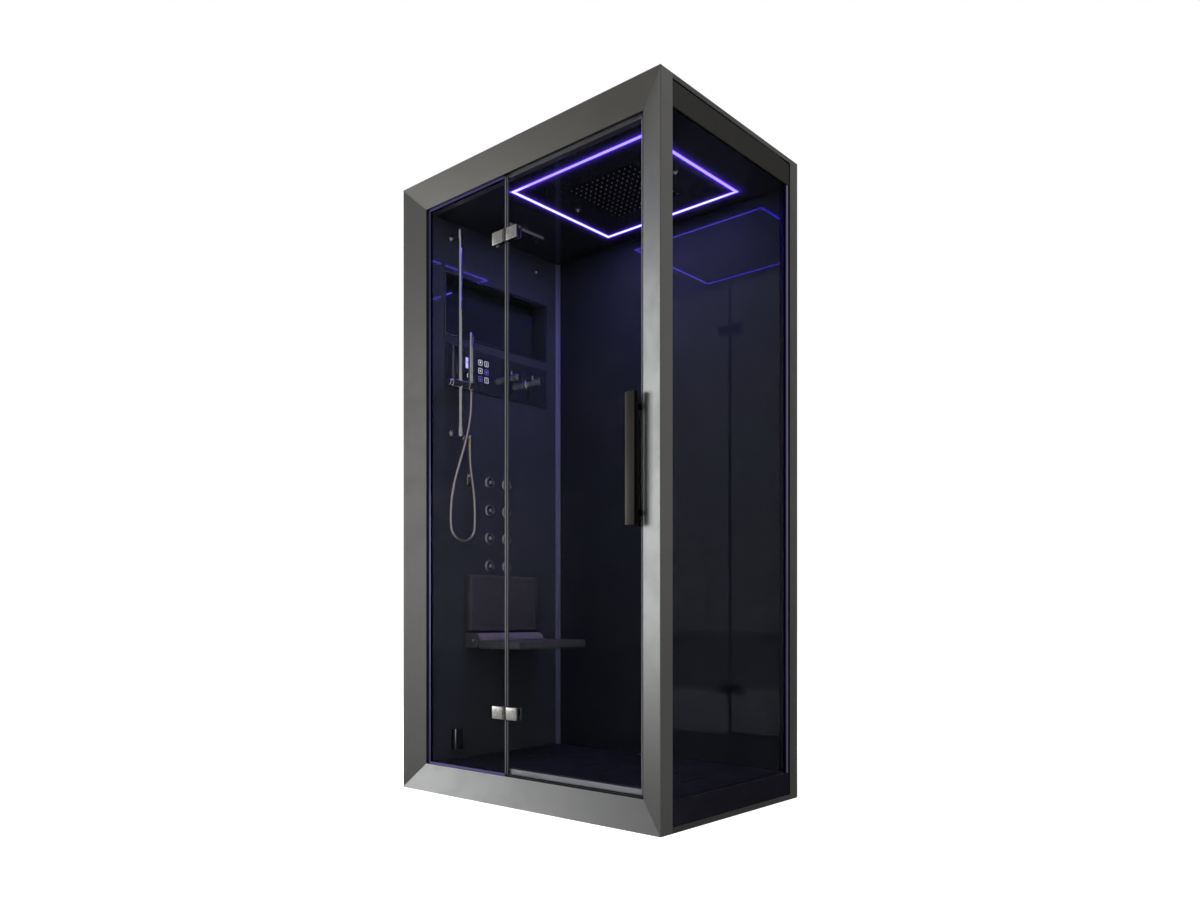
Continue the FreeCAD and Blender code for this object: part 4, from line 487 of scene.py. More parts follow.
def painted_glow_near_loop():
    """How near a point of the ceiling is to the light loop, the mask of the painted glow: 1 on the line,
    falling off softly.
    """
    inputs = {"Reach": ("NodeSocketFloat", 0.02)}
    tree, given, out = new_group("painted glow near the loop", inputs, {"Glow": "NodeSocketFloat"})
    axes, over = object_axes(tree), []
    for axis, centre, half in zip("XY", LOOP_CENTRE, LOOP_HALF):
        away = maths(tree, "ABSOLUTE", maths(tree, "SUBTRACT", axes[axis], centre))
        over.append(maths(tree, "SUBTRACT", away, half))
    outside = [maths(tree, "POWER", maths(tree, "MAXIMUM", value, 0), 2) for value in over]
    beyond = maths(tree, "SQRT", maths(tree, "ADD", *outside))
    inside = maths(tree, "MINIMUM", maths(tree, "MAXIMUM", *over), 0)
    distance = maths(tree, "ABSOLUTE", maths(tree, "ADD", beyond, inside))
    steps = maths(tree, "DIVIDE", distance, given["Reach"])
    wire(tree, (maths(tree, "EXPONENT", maths(tree, "MULTIPLY", steps, -1)), out["Glow"]))
    return tree


# painted light and shade: one black board, paler and bluer on the equipped wall, darker on the rear wall and
# the ceiling
wall_black_painted_light = gloss(
    "black gloss wall painted light", (0.063, 0.069, 0.074), (0.073, 0.080, 0.086), 0.04, Specular_IOR_Level=0.28
)
rear_black_painted_shade = gloss(
    "black gloss rear wall painted shade", (0.024, 0.027, 0.030), (0.028, 0.032, 0.035), 0.0, 0.002,
    Specular_IOR_Level=0.24,
)
ceiling_black_painted_shade_and_glow = gloss(
    "black gloss ceiling painted shade and glow", (0.019, 0.021, 0.022), (0.023, 0.026, 0.027), 0.05,
    Specular_IOR_Level=0.3, Emission_Strength=1.3,
)
# painted glow: the ceiling's own emission, violet and strongest along the loop
tree = ceiling_black_painted_shade_and_glow.node_tree
glow = place_group(tree, painted_glow_near_loop(), Reach=GLOW_REACH)["Glow"]
painted_glow_color = between(tree, glow, (0, 0, 0), PAINTED_GLOW_VIOLET)
wire(tree, (painted_glow_color, tree.nodes["Principled BSDF"].inputs["Emission Color"]))
dress(wall_black_painted_light, "left_wall_panel")
dress(rear_black_painted_shade, "back_wall_panel")
dress(ceiling_black_painted_shade_and_glow, "ceiling_panel")


# ------------------------------------------------ profiles and glass
# Clear 8 mm safety glass with a faint grey tint, held in slim aluminium channels. The door closes
# on a grey stop frame behind it, and soft clear seals close the edges. The channels' violet-blue
# colour is painted reflection of the light loop.
def corners(name):
    """The low and the high corner of a CAD node's box."""
    return [Vector(corner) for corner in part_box(name)]


def block(bm, low, high, bevel=0.0, segments=2, keep=None, finish=0, edge_finish=-1):
    """A box between two corners with rounded edges. keep picks the edges, finish is a material."""
    low, high, before = Vector(low), Vector(high), set(bm.faces)
    made = bmesh.ops.create_cube(bm, size=1)["verts"]
    bmesh.ops.scale(bm, vec=high - low, verts=made)
    bmesh.ops.translate(bm, vec=(low + high) / 2, verts=made)
    edges = list({edge for vertex in made for edge in vertex.link_edges if keep is None or keep(edge)})
    if bevel:
        bmesh.ops.bevel(
            bm, geom=edges, offset=bevel, segments=segments, profile=0.5, affect="EDGES", material=edge_finish
        )
    bm.normal_update()
    faces = [face for face in bm.faces if face not in before]
    if finish:
        for face in faces:
            face.material_index = finish
    return faces


# the corner angle's grey is its aluminium; its bluish tint is painted violet sheen from the light loop
angle_grey_painted_sheen, tree, shader = new_material("angle grey painted sheen", (0.3, 0.3, 0.3), metallic=0.3, roughness=0.35)
grain = place_group(tree, drawn_grain, Stretch=ALONG_Z, Depth=0.1)
tint(tree, shader, grain["Grain"], (0.24, 0.24, 0.32), (0.34, 0.34, 0.45))
# painted reflection: the aluminium channels are tinted violet-blue like the loop's light
channel_grey_painted_violet_reflection = drawn_metal("channel painted violet reflection", (0.050, 0.046, 0.115), (0.068, 0.062, 0.155), 0.34, ALONG_Z, 0.1)
stop_grey = drawn_metal("stop frame grey", (0.56, 0.54, 0.52), (0.68, 0.66, 0.64), 0.36, 300, 0.1)
dress(channel_grey_painted_violet_reflection, "fixed_glass_channels")
dress(stop_grey, "door_stop_frame")
for name, bend, panes in (
    ("clear glass", 1.03, ("fixed_glass", "door_glass")),
    ("clear side glass", 1.012, ("side_glass",)),
):
    pane = gloss(
        name, (0.60, 0.61, 0.65), (0.56, 0.57, 0.61), 0.0, dulled=0, size=3.0,
        Transmission_Weight=1.0, IOR=bend,
    )
    dress(pane, *panes)
# painted shade and painted highlight: the clear seals are coloured near black, their lips pale grey
seal_clear_painted_shade = moulded(
    "clear seal", (0.012, 0.012, 0.015), (0.018, 0.018, 0.022), 0.3, 600, 0.05, Specular_IOR_Level=0.1
)
lip_clear_painted_highlight = moulded(
    "clear seal lip", (0.13, 0.13, 0.14), (0.17, 0.17, 0.18), 0.3, 600, 0.05, Specular_IOR_Level=0.2
)
dress(seal_clear_painted_shade, "door_seals")

LEG, LEG_THICK = 0.015, 0.003
low, high = corners("corner_profiles")
inner = REAR_FACE - LEG_THICK
angle_bm = bmesh.new()
block(angle_bm, (WALL_FACE, inner, low.z), (WALL_FACE + LEG, REAR_FACE, high.z), 0.0009)
block(angle_bm, (WALL_FACE, REAR_FACE - LEG, low.z), (WALL_FACE + LEG_THICK, inner + 0.0005, high.z), 0.0009)
from_bmesh("corner_angle", angle_bm, [angle_grey_painted_sheen], replaces="corner_profiles")

SIDE_IN, SIDE_OUT, CHANNEL_TOP = 0.5845, 0.5985, 2.133
CHANNEL_FRONT, CHANNEL_REAR, CHANNEL_WALL = 0.325, 0.3395, 0.0027
channel_bm = bmesh.new()
for x, width, front in (
    (SIDE_IN, CHANNEL_WALL, CHANNEL_FRONT),
    (SIDE_OUT - CHANNEL_WALL, CHANNEL_WALL, CHANNEL_FRONT),
    (SIDE_IN + 0.001, SIDE_OUT - SIDE_IN - 0.002, 0.3363),
):
    block(channel_bm, (x, front, low.z), (x + width, CHANNEL_REAR, CHANNEL_TOP), 0.0008)
from_bmesh("side_glass_channel", channel_bm, [channel_grey_painted_violet_reflection])

# the meeting seal: a lip that clips over the fixed glass, one towards the door, a recessed web between;
# the clear seal is coloured near black on the web, painted shade, and pale on the lips, painted highlight
HINGE_HEIGHTS, HINGE_SPAN = (0.307, 1.937), 0.0225
LIP_WIDE, WEB_IN, WEB_JOIN, FIN_OVER, FIN_THICK = 0.0012, 0.0022, 0.0002, 0.0006, 0.0005
low, high = corners("meeting_seal")
stops = [low.z]
for height in HINGE_HEIGHTS:
    stops += [height - HINGE_SPAN, height + HINGE_SPAN]
stops.append(high.z)
seal = bmesh.new()
web_low, web_high = low.x + LIP_WIDE - WEB_JOIN, high.x - LIP_WIDE + WEB_JOIN
for foot, top in zip(stops[::2], stops[1::2]):
    block(seal, (low.x - FIN_OVER, low.y - FIN_THICK, foot), (low.x + LIP_WIDE, low.y, top), 0.0002)
    block(seal, (low.x - FIN_OVER, high.y, foot), (low.x + LIP_WIDE, high.y + FIN_THICK, top), 0.0002)
    block(seal, (low.x, low.y, foot), (low.x + LIP_WIDE, high.y, top), 0.0003)
    block(seal, (high.x - LIP_WIDE, low.y, foot), (high.x, high.y, top), 0.0005)
    block(seal, (web_low, low.y + WEB_IN, foot), (web_high, high.y - WEB_IN, top), finish=1)
from_bmesh("meeting_seal_lips", seal, [lip_clear_painted_highlight, seal_clear_painted_shade], replaces="meeting_seal")


# ------------------------------------------------ light loop
# Opal diffuser bars over violet-blue diodes, flush with the ceiling. The two bars at the rear and
# on the equipped wall's side shine whiter than the front and right-hand ones.
loop_light, tree, shader = new_material(
    "lit diffuser", (0.7, 0.6, 0.9), roughness=0.5, Emission_Strength=22
)
axes = object_axes(tree)
towards_wall = ramp(tree, maths(tree, "SUBTRACT", axes["Y"], axes["X"]), From_Min=-0.20, From_Max=-0.08)
core = between(tree, towards_wall, (0.042, 0.026, 1.0), (0.102, 0.078, 1.0))
wire(tree, (core, shader.inputs["Emission Color"]))
dress(loop_light, "led_diffuser")


# ------------------------------------------------ rain head and ceiling fittings
# A square black rain head with a grid of soft grey nozzles, two mist nozzles beside it and a slim
# blade outlet above the seat.
rain_black = moulded(
    "rain head black", (0.004, 0.004, 0.005), (0.006, 0.006, 0.007), 0.3, 1000, 0.1,
    Specular_IOR_Level=0.1,
)
nozzle_grey = moulded("nozzle silicone", (0.42, 0.42, 0.43), (0.52, 0.52, 0.53), 0.45, 900, 0.1)
dress(rain_black, "rain_head")
dress(nozzle_grey, "rain_nozzles")

CEILING, MIST_RADIUS = 2.136, 0.011
low, high = corners("mist_nozzles")
disc = [(0, MIST_RADIUS), (0.003, MIST_RADIUS), (0.005, 0.0085), (0.0052, 0.0045)]
disc += [(0.008, 0.003), (0.008, 0.0012), (0.006, 0)]
mist = bmesh.new()
for x in (low.x + MIST_RADIUS, high.x - MIST_RADIUS):
    lathe(mist, disc, (x, 0, CEILING), -Z, 32)
from_bmesh("mist_nozzle_discs", mist, [chrome], replaces="mist_nozzles")

BLADE_RAIL, BLADE_END = 0.0045, 0.004
low, high = corners("blade_outlet")
blade = bmesh.new()
block(blade, low, (low.x + BLADE_RAIL, high.y, high.z), 0.001)
# painted highlight: the rail on the outlet's high-X side is a pale warm satin, the other rail chrome
block(blade, (high.x - BLADE_RAIL, low.y, low.z), high, 0.001, finish=1)
for y in (low.y, high.y - BLADE_END):
    block(blade, (low.x + 0.002, y, low.z), (high.x - 0.002, y + BLADE_END, high.z), 0.001)
block(blade, (low.x + 0.003, low.y + 0.003, low.z + 0.003), (high.x - 0.003, high.y - 0.003, high.z))
blade_painted_highlight = moulded("blade outlet painted highlight", (0.60, 0.55, 0.50), (0.72, 0.66, 0.60), 0.45, 700, 0.05)
from_bmesh("blade_outlet_bar", blade, [chrome, blade_painted_highlight], replaces="blade_outlet")


# ------------------------------------------------ niche
# A glossy black liner set into the wall above the control panel, with a slim bevelled rim round
# its mouth.
panel_black = gloss(
    "panel glass", (0.028, 0.034, 0.038), (0.034, 0.041, 0.046), 0.012, Specular_IOR_Level=0.9, IOR=1.8
)
niche_black = gloss(
    "niche black", (0.028, 0.036, 0.038), (0.034, 0.043, 0.046), 0.012, Specular_IOR_Level=0.7
)
dress(niche_black, "niche_liner")
RIM_WIDE, RIM_OUT = 0.005, 0.0035
low, high = corners("niche_liner")
rim = bmesh.new()
for y, end, foot, top in (
    (low.y - RIM_WIDE, high.y + RIM_WIDE, low.z - RIM_WIDE, low.z),
    (low.y - RIM_WIDE, high.y + RIM_WIDE, high.z, high.z + RIM_WIDE),
    (low.y - RIM_WIDE, low.y, low.z, high.z),
    (high.y, high.y + RIM_WIDE, low.z, high.z),
):
    block(rim, (WALL_FACE, y, foot), (WALL_FACE + RIM_OUT, end, top), 0.0012)
from_bmesh("niche_rim", rim, [panel_black])


# ------------------------------------------------ control panel
# A black glass panel with a lit display, six lit touch keys and a power key, each a printed
# outline with a plain symbol behind the glass.
dress(panel_black, "control_panel")
key_white, key_violet, display_lit = (
    gloss(
        name, dark, light, roughness, dulled=0, size=9.0,
        Emission_Color=(*glow, 1), Emission_Strength=strength,
    )
    for name, dark, light, roughness, glow, strength in (
        ("lit white print", (0.5, 0.5, 0.52), (0.62, 0.62, 0.64), 0.4, (0.80, 0.80, 0.86), 2.5),
        ("lit violet print", (0.18, 0.14, 0.45), (0.22, 0.18, 0.52), 0.4, (0.22, 0.16, 0.85), 1.1),
        ("lit display", (0.28, 0.26, 0.46), (0.32, 0.30, 0.52), 0.2, (0.52, 0.46, 1.0), 1.6),
    )
)
KEY_DEPTH, KEY_CORNER, KEY_MARGIN, KEY_LINE = 0.0008, 0.004, 0.0010, 0.0011
PRINT = 0.0004


def plate(bm, x, y, z, wide, tall, finish):
    """A thin print on the panel's face round a place in y and z."""
    block(bm, (x, y - wide / 2, z - tall / 2), (x + PRINT, y + wide / 2, z + tall / 2), finish=finish)


def along_x(edge):
    """Whether an edge runs into the panel."""
    return abs((edge.verts[0].co - edge.verts[1].co).normalized().x) > 0.9


def front_of(faces):
    """The largest face that looks into the cabin."""
    return max((face for face in faces if face.normal.x > 0.9), key=lambda face: face.calc_area())


def inset(bm, face, width, depth=0):
    """Shrinks a face and gives the border faces that this makes."""
    made = bmesh.ops.inset_region(bm, faces=[face], thickness=width, depth=depth, use_even_offset=True)
    return made["faces"]


def touch_key(bm, x, y, z, size, lit):
    """A rounded square of black glass with a lit outline."""
    half = size / 2
    low, high = (x, y - half, z - half), (x + KEY_DEPTH, y + half, z + half)
    front = front_of(block(bm, low, high, KEY_CORNER, 4, along_x))
    inset(bm, front, KEY_MARGIN)
    for made in inset(bm, front, KEY_LINE):
        made.material_index = lit


KEY_COLUMNS, KEY_ROWS, KEY_SIZE = (-0.100, -0.068), (1.566, 1.598, 1.630), 0.022
POWER_Y, POWER_Z, POWER_SIZE = -0.160, 1.5685, 0.0165
WHITE, VIOLET = 1, 2
VIOLET_KEYS = ((0, 0), (1, 1))
key_face = corners("touch_keys")[0].x
keys = bmesh.new()
for column, y in enumerate(KEY_COLUMNS):
    for row, z in enumerate(KEY_ROWS):
        touch_key(keys, key_face, y, z, KEY_SIZE, VIOLET if (column, row) in VIOLET_KEYS else WHITE)
touch_key(keys, key_face, POWER_Y, POWER_Z, POWER_SIZE, WHITE)
# plain symbols: lamp, drop, steam bars, fan, jets, seat and power
for y, z, wide, tall, lit in (
    (-0.100, 1.6315, 0.0045, 0.004, WHITE),
    (-0.100, 1.6280, 0.0025, 0.0012, WHITE),
    (-0.068, 1.631, 0.0012, 0.007, WHITE),
    (-0.068, 1.6265, 0.005, 0.0012, WHITE),
    (-0.103, 1.598, 0.0009, 0.006, WHITE),
    (-0.100, 1.598, 0.0009, 0.006, WHITE),
    (-0.097, 1.598, 0.0009, 0.006, WHITE),
    (-0.068, 1.598, 0.010, 0.0018, VIOLET),
    (-0.068, 1.598, 0.0018, 0.010, VIOLET),
    (-0.102, 1.566, 0.0018, 0.008, VIOLET),
    (-0.098, 1.5628, 0.008, 0.0018, VIOLET),
    (-0.0705, 1.568, 0.0018, 0.0018, WHITE),
    (-0.0655, 1.568, 0.0018, 0.0018, WHITE),
    (-0.068, 1.564, 0.0018, 0.0018, WHITE),
    (POWER_Y, 1.5700, 0.0016, 0.006, WHITE),
):
    plate(keys, key_face + KEY_DEPTH, y, z, wide, tall, lit)
from_bmesh("touch_key_prints", keys, [panel_black, key_white, key_violet], replaces="touch_keys")

# the display shows a set temperature in seven-bar digits; a bar is (across, up, flat)
BARS = {
    "a": (0, 1, True), "b": (0.5, 0.5, False), "c": (0.5, -0.5, False), "d": (0, -1, True),
    "e": (-0.5, -0.5, False), "f": (-0.5, 0.5, False), "g": (0, 0, True),
}
DIGIT_HALF, BAR, DIGIT_Z = 0.0075, 0.0016, 1.617
low, high = corners("panel_display")
display = bmesh.new()
block(display, low, high, 0.0003)
for lit_bars, y in (("bcfg", -0.1665), ("abdeg", -0.1545)):
    for bar in lit_bars:
        across, up, flat = BARS[bar]
        wide, tall = (DIGIT_HALF, BAR) if flat else (BAR, DIGIT_HALF)
        plate(display, high.x, y + across * DIGIT_HALF, DIGIT_Z + up * DIGIT_HALF, wide, tall, 1)
from_bmesh(
    "temperature_display", display, [display_lit, panel_black], replaces="panel_display"
)


# ------------------------------------------------ mixer knobs
# Two turned knobs on base rings, one for the temperature and one for the outlet. Each has a knurled
# grip, a waist and a pin lever with a ball tip.
KNOB_Z, PANEL_FACE = 1.594, -0.5017
KNURLS, KNURL_REACH, KNURL = 20, 0.0139, 0.0012


def ribs(bm, count, centre, reach, size, axis):
    """Small ribs round a turned grip. reach is the way from its axis to the first rib."""
    for k in range(count):
        turn = Matrix.Rotation(2 * pi * k / count, 3, axis)
        rib = bmesh.ops.create_cube(bm, size=1)["verts"]
        bmesh.ops.scale(bm, vec=size, verts=rib)
        bmesh.ops.rotate(bm, verts=rib, cent=(0, 0, 0), matrix=turn)
        bmesh.ops.translate(bm, vec=Vector(centre) + turn @ Vector(reach), verts=rib)


for name, node, body, y, tip, lever_x in (
    ("temperature_knob_turned", "temperature_knob", "temperature", 0.052, -0.438, -0.484),
    ("diverter_knob_turned", "diverter_knob", "diverter", 0.163, -0.424, -0.476),
):
    long = tip - PANEL_FACE
    grip = [(0, 0), (0, 0.022), (0.0035, 0.022), (0.006, 0.0195), (0.0062, 0.012), (0.011, 0.011)]
    grip += [(0.0115, 0.0132), (0.0125, 0.014), (long * 0.52, 0.014), (long * 0.53, 0.0128)]
    grip += [(long * 0.57, 0.0128), (long * 0.58, 0.014), (long - 0.002, 0.014), (long - 0.0006, 0.0134)]
    lever = [(0, 0), (0, 0.003), (0.0235, 0.003), (0.0245, 0.0044), (0.027, 0.0045), (0.0305, 0.0035)]
    knob = bmesh.new()
    lathe(knob, grip + [(long, 0.012), (long, 0)], (PANEL_FACE, y, KNOB_Z), X, 56)
    middle, size = (PANEL_FACE + long * 0.79, y, KNOB_Z), (long * 0.32, KNURL, KNURL)
    ribs(knob, KNURLS, middle, (0, KNURL_REACH, 0), size, "X")
    lathe(knob, lever + [(0.0315, 0)], (lever_x, y, KNOB_Z), Z, 24)
    from_bmesh(name, knob, [chrome], body, node)


# ------------------------------------------------ slide rail and hand shower
# A chromed round rail between two wall brackets. The holder slides on it and is locked by a knob,
# and its cradle carries a slim stick hand shower with a row of nozzles facing the cabin.
RAIL_X, RAIL_Y, RAIL_FOOT, RAIL_LONG, RAIL_RADIUS = -0.456, -0.241, 1.344, 0.719, 0.008
BRACKET_FEET, BRACKET_MIDDLE = (1.314, 2.055), 0.019
rail = bmesh.new()
tube = [(0, 0), (0, RAIL_RADIUS), (RAIL_LONG, RAIL_RADIUS), (RAIL_LONG, 0)]
lathe(rail, tube, (RAIL_X, RAIL_Y, RAIL_FOOT), Z)
from_bmesh("rail_tube", rail, [chrome], replaces="slide_rail")

ends = bmesh.new()
for foot in BRACKET_FEET:
    cup = [(0, 0), (0, 0.0095), (0.0015, 0.011), (0.0365, 0.011), (0.038, 0.0095), (0.038, 0)]
    lathe(ends, cup, (RAIL_X, RAIL_Y, foot), Z)
    arm = [(0, 0), (0, 0.014), (0.003, 0.014), (0.005, 0.0125), (0.0052, 0.007), (0.046, 0.007), (0.046, 0)]
    lathe(ends, arm, (WALL_FACE, RAIL_Y, foot + BRACKET_MIDDLE), X, 32)
from_bmesh("rail_end_brackets", ends, [chrome], replaces="rail_brackets")

HOLDER_Z, COLLAR_LIFT = 1.512, 0.0085
slider = bmesh.new()
barrel = [(0, 0), (0, 0.0135), (0.0015, 0.015), (0.079, 0.015), (0.0805, 0.0138), (0.0805, 0)]
lathe(slider, barrel, (RAIL_X, -0.2875, HOLDER_Z), Y, 48)
for lift in (-1, 1):
    collar = [(0, 0.0081), (0, 0.0125), (0.006, 0.0118), (0.0066, 0.0105), (0.0066, 0.0081)]
    lathe(slider, collar, (RAIL_X, RAIL_Y, HOLDER_Z + lift * COLLAR_LIFT), lift * Z, 32)
from_bmesh("holder_slider", slider, [chrome], "slider", "slider_block")

lock = bmesh.new()
grip = [(0, 0), (0, 0.0115), (0.0012, 0.013), (0.0095, 0.0142), (0.0115, 0.0136), (0.0115, 0)]
lathe(lock, grip, (RAIL_X, -0.2993, HOLDER_Z), Y, 48)
ribs(lock, 16, (RAIL_X, -0.2937, HOLDER_Z), (0.0138, 0, 0), (0.0016, 0.008, 0.0014), "Y")
from_bmesh("holder_lock_knob", lock, [chrome], "lock_knob", "slider_knob")

STICK_Y, CRADLE_TOP = -0.188, 0.0135
cradle = bmesh.new()
barrel = [(0, 0), (0, 0.0138), (0.0015, 0.015), (0.0386, 0.015), (0.0404, 0.0135), (0.0404, 0)]
lathe(cradle, barrel, (RAIL_X, -0.2065, HOLDER_Z), Y, 48)
for vertex in cradle.verts:
    vertex.co.z = min(vertex.co.z, HOLDER_Z + CRADLE_TOP)
ring = [(0, 0.0112), (0, 0.0142), (0.0008, 0.0148), (0.0018, 0.0142), (0.0018, 0.0112)]
lathe(cradle, ring, (RAIL_X, STICK_Y, HOLDER_Z + 0.0128), Z, 32)
from_bmesh("holder_cradle", cradle, [chrome], "cradle", "handset_cradle")

NOZZLE_ROWS, NOZZLE_FOOT, NOZZLE_PITCH, NOZZLE_HALF = 18, 1.568, 0.0076, 0.0025
stick = bmesh.new()
handset = [(0.018, 0), (0.018, 0.0099), (0, 0.0099), (0, 0.0104), (0.0008, 0.011), (0.0285, 0.011)]
handset += [(0.029, 0.0133), (0.0315, 0.0135), (0.0335, 0.0113), (0.217, 0.011), (0.2195, 0.0098)]
handset += [(0.221, 0.0072), (0.221, 0)]
lathe(stick, handset, (RAIL_X, STICK_Y, 1.497), Z, 48)
spray_face = RAIL_X + 0.0118
block(stick, (RAIL_X + 0.006, STICK_Y - 0.006, 1.560), (spray_face, STICK_Y + 0.006, 1.706), 0.0015)
nozzle = [(0, 0), (0, 0.0012), (0.0009, 0.0009), (0.0009, 0)]
for k in range(NOZZLE_ROWS):
    for y in (STICK_Y - NOZZLE_HALF, STICK_Y + NOZZLE_HALF):
        lathe(stick, nozzle, (spray_face, y, NOZZLE_FOOT + NOZZLE_PITCH * k), X, 8, finish=1)
from_bmesh("hand_shower_stick", stick, [chrome, nozzle_grey], "cradle", "handset")


# ------------------------------------------------ elbow and hook
# The hose leaves the wall through a rose and an elbow with a hexagon nut. A small block below the
# elbow carries a peg.
ELBOW_X, ELBOW_Y, ELBOW_Z = -0.478, -0.176, 1.326
elbow = bmesh.new()
rose = [(0, 0), (0, 0.015), (0.0025, 0.015), (0.004, 0.0135), (0.0042, 0.0075), (0.028, 0.0075), (0.028, 0)]
lathe(elbow, rose, (WALL_FACE, ELBOW_Y, ELBOW_Z), X)
ball = bmesh.ops.create_uvsphere(elbow, u_segments=24, v_segments=16, radius=0.009)["verts"]
bmesh.ops.translate(elbow, vec=(ELBOW_X, ELBOW_Y, ELBOW_Z), verts=ball)
ferrule = [(0, 0), (0, 0.0068), (0.024, 0.0068), (0.024, 0)]
lathe(elbow, ferrule, (ELBOW_X, ELBOW_Y, 1.322), -Z, 32, finish=1)
nut = [(0, 0), (0, 0.0075), (0.0012, 0.0082), (0.013, 0.0082), (0.0145, 0.0075), (0.0145, 0)]
lathe(elbow, nut, HOSE_ROUTE[0], Z, 6, finish=1)
warm_brass = drawn_metal("nut brass", (0.72, 0.52, 0.30), (0.86, 0.64, 0.40), 0.2, 200, 0.05)
from_bmesh("hose_wall_elbow", elbow, [chrome, warm_brass], replaces="hose_elbow")

low, high = corners("wall_hook")
hook = bmesh.new()
block(hook, low, (high.x - 0.006, high.y, high.z), 0.002, 3)
peg = [(0, 0), (0, 0.0055), (0.0115, 0.0055), (0.0125, 0.007), (0.0165, 0.007), (0.018, 0.0055), (0.018, 0)]
lathe(hook, peg, (low.x, (low.y + high.y) / 2, high.z - 0.010), X, 28)
from_bmesh("wall_peg", hook, [chrome], replaces="wall_hook")


# ------------------------------------------------ body jets
# Eight jets in two columns: a domed chromed flange, and in it a dark spray face with a raised
# chromed nose and a ring of outlets. The nose and the outlets are coloured a pale violet, painted glint.
JET_SIDE, JET_ROWS, JET_FOOT, JET_PITCH = 0.046, 4, 0.8365, 0.110
OUTLETS, OUTLET_REACH, OUTLET_FACE = 8, 0.0108, 0.0018
dome = [(-0.024, 0.0142), (-0.024, 0.016), (0, 0.016), (0, 0.026), (0.0012, 0.026), (0.0034, 0.0245)]
dome += [(0.0054, 0.0215), (0.006, 0.0185), (0.0052, 0.0162), (0.003, 0.0150), (0, 0.0142), (-0.024, 0.0142)]
dish = [(-0.02, 0), (-0.02, 0.0138), (0.001, 0.0138), (0.0022, 0.0128), (0.0018, 0.0098), (0.0018, 0)]
nose = [(0.0018, 0.0075), (0.0055, 0.007), (0.0068, 0.0055), (0.0068, 0.0028), (0.004, 0.0024), (0.004, 0)]
nub = [(0, 0), (0, 0.0009), (0.0012, 0.0006), (0.0012, 0)]
flanges, spray_faces = bmesh.new(), bmesh.new()
for y in (-JET_SIDE, JET_SIDE):
    for z in [JET_FOOT + JET_PITCH * row for row in range(JET_ROWS)]:
        lathe(flanges, dome, (WALL_FACE, y, z), X, 44)
        lathe(spray_faces, dish, (WALL_FACE, y, z), X, 36)
        lathe(spray_faces, nose, (WALL_FACE, y, z), X, 32, finish=1)
        for k in range(OUTLETS):
            angle = 2 * pi * k / OUTLETS
            place = (WALL_FACE + OUTLET_FACE, y + OUTLET_REACH * cos(angle), z + OUTLET_REACH * sin(angle))
            lathe(spray_faces, nub, place, X, 8, finish=1)
jet_chrome = drawn_metal("jet chrome", (0.36, 0.34, 0.32), (0.48, 0.455, 0.43), 0.14, 90, 0.02, 0.8, 0.03)
# painted glint: pale violet colour on the chromed noses and outlets
jet_nose_painted_glint = moulded("jet nose painted glint", (0.40, 0.38, 0.48), (0.55, 0.52, 0.66), 0.12, 900, 0.05)
from_bmesh("jet_rings", flanges, [jet_chrome], replaces="jet_flanges")
from_bmesh("jet_spray_faces", spray_faces, [rain_black, jet_nose_painted_glint], replaces="jet_nozzles")


# ------------------------------------------------ folding seat
# Dark grey moulded seat. Two round ears on a wall plate hold its roll, and the slab turns up about
# it in front of the backrest.
AXIS_X, AXIS_Z, EAR = -0.462, 0.546, 0.010
PLATE_FOOT, PLATE_TOP = 0.518, 0.574
SEAT_LOW, SEAT_HIGH = -0.173, 0.195
seat_grey = moulded("seat grey", (0.078, 0.075, 0.076), (0.100, 0.096, 0.097), 0.45, 1100, 0.35)
roll_grey = moulded("seat roll grey", (0.29, 0.25, 0.27), (0.37, 0.32, 0.345), 0.42, 1100, 0.35)
bracket = bmesh.new()
block(bracket, (WALL_FACE, SEAT_LOW, PLATE_FOOT), (-0.494, SEAT_HIGH, PLATE_TOP), 0.002, 3)
ear = [(EAR, 0), (EAR, 0.028), (0.0015, 0.028), (0, 0.0265), (0, 0.017), (0.0006, 0.0165), (0.0006, 0)]
for start, inward in ((SEAT_LOW, 1), (SEAT_HIGH, -1)):
    lathe(bracket, ear, (AXIS_X, start, AXIS_Z), inward * Y, 56)
    near, far = sorted((start, start + inward * EAR))
    block(bracket, (-0.505, near + 0.0004, PLATE_FOOT), (AXIS_X, far - 0.0004, PLATE_TOP), 0.0012)
from_bmesh("seat_wall_bracket", bracket, [seat_grey], replaces="seat_bracket")

slab = bmesh.new()
block(slab, (-0.4335, SEAT_LOW, 0.515), (-0.212, SEAT_HIGH, 0.547), 0.006, 4)
roll = [(0, 0), (0, 0.0262), (0.0012, 0.0275), (0.3458, 0.0275), (0.347, 0.0262), (0.347, 0)]
lathe(slab, roll, (AXIS_X, -0.1625, AXIS_Z), Y, 64, finish=1)
block(slab, (AXIS_X, -0.1615, 0.5195), (-0.4280, 0.1835, 0.5455), 0.002)
from_bmesh("seat_slab_and_roll", slab, [seat_grey, roll_grey], "seat", "seat_slab")

PAD_MARGIN, PAD_LINE, PAD_SINK = 0.010, 0.0012, 0.0008
rest = bmesh.new()
front = front_of(block(rest, (WALL_FACE, SEAT_LOW, 0.580), (-0.476, SEAT_HIGH, 0.798), 0.008, 5))
inset(rest, front, PAD_MARGIN)
inset(rest, front, PAD_LINE, -PAD_SINK)
from_bmesh("seat_backrest_pad", rest, [seat_grey], replaces="seat_backrest")


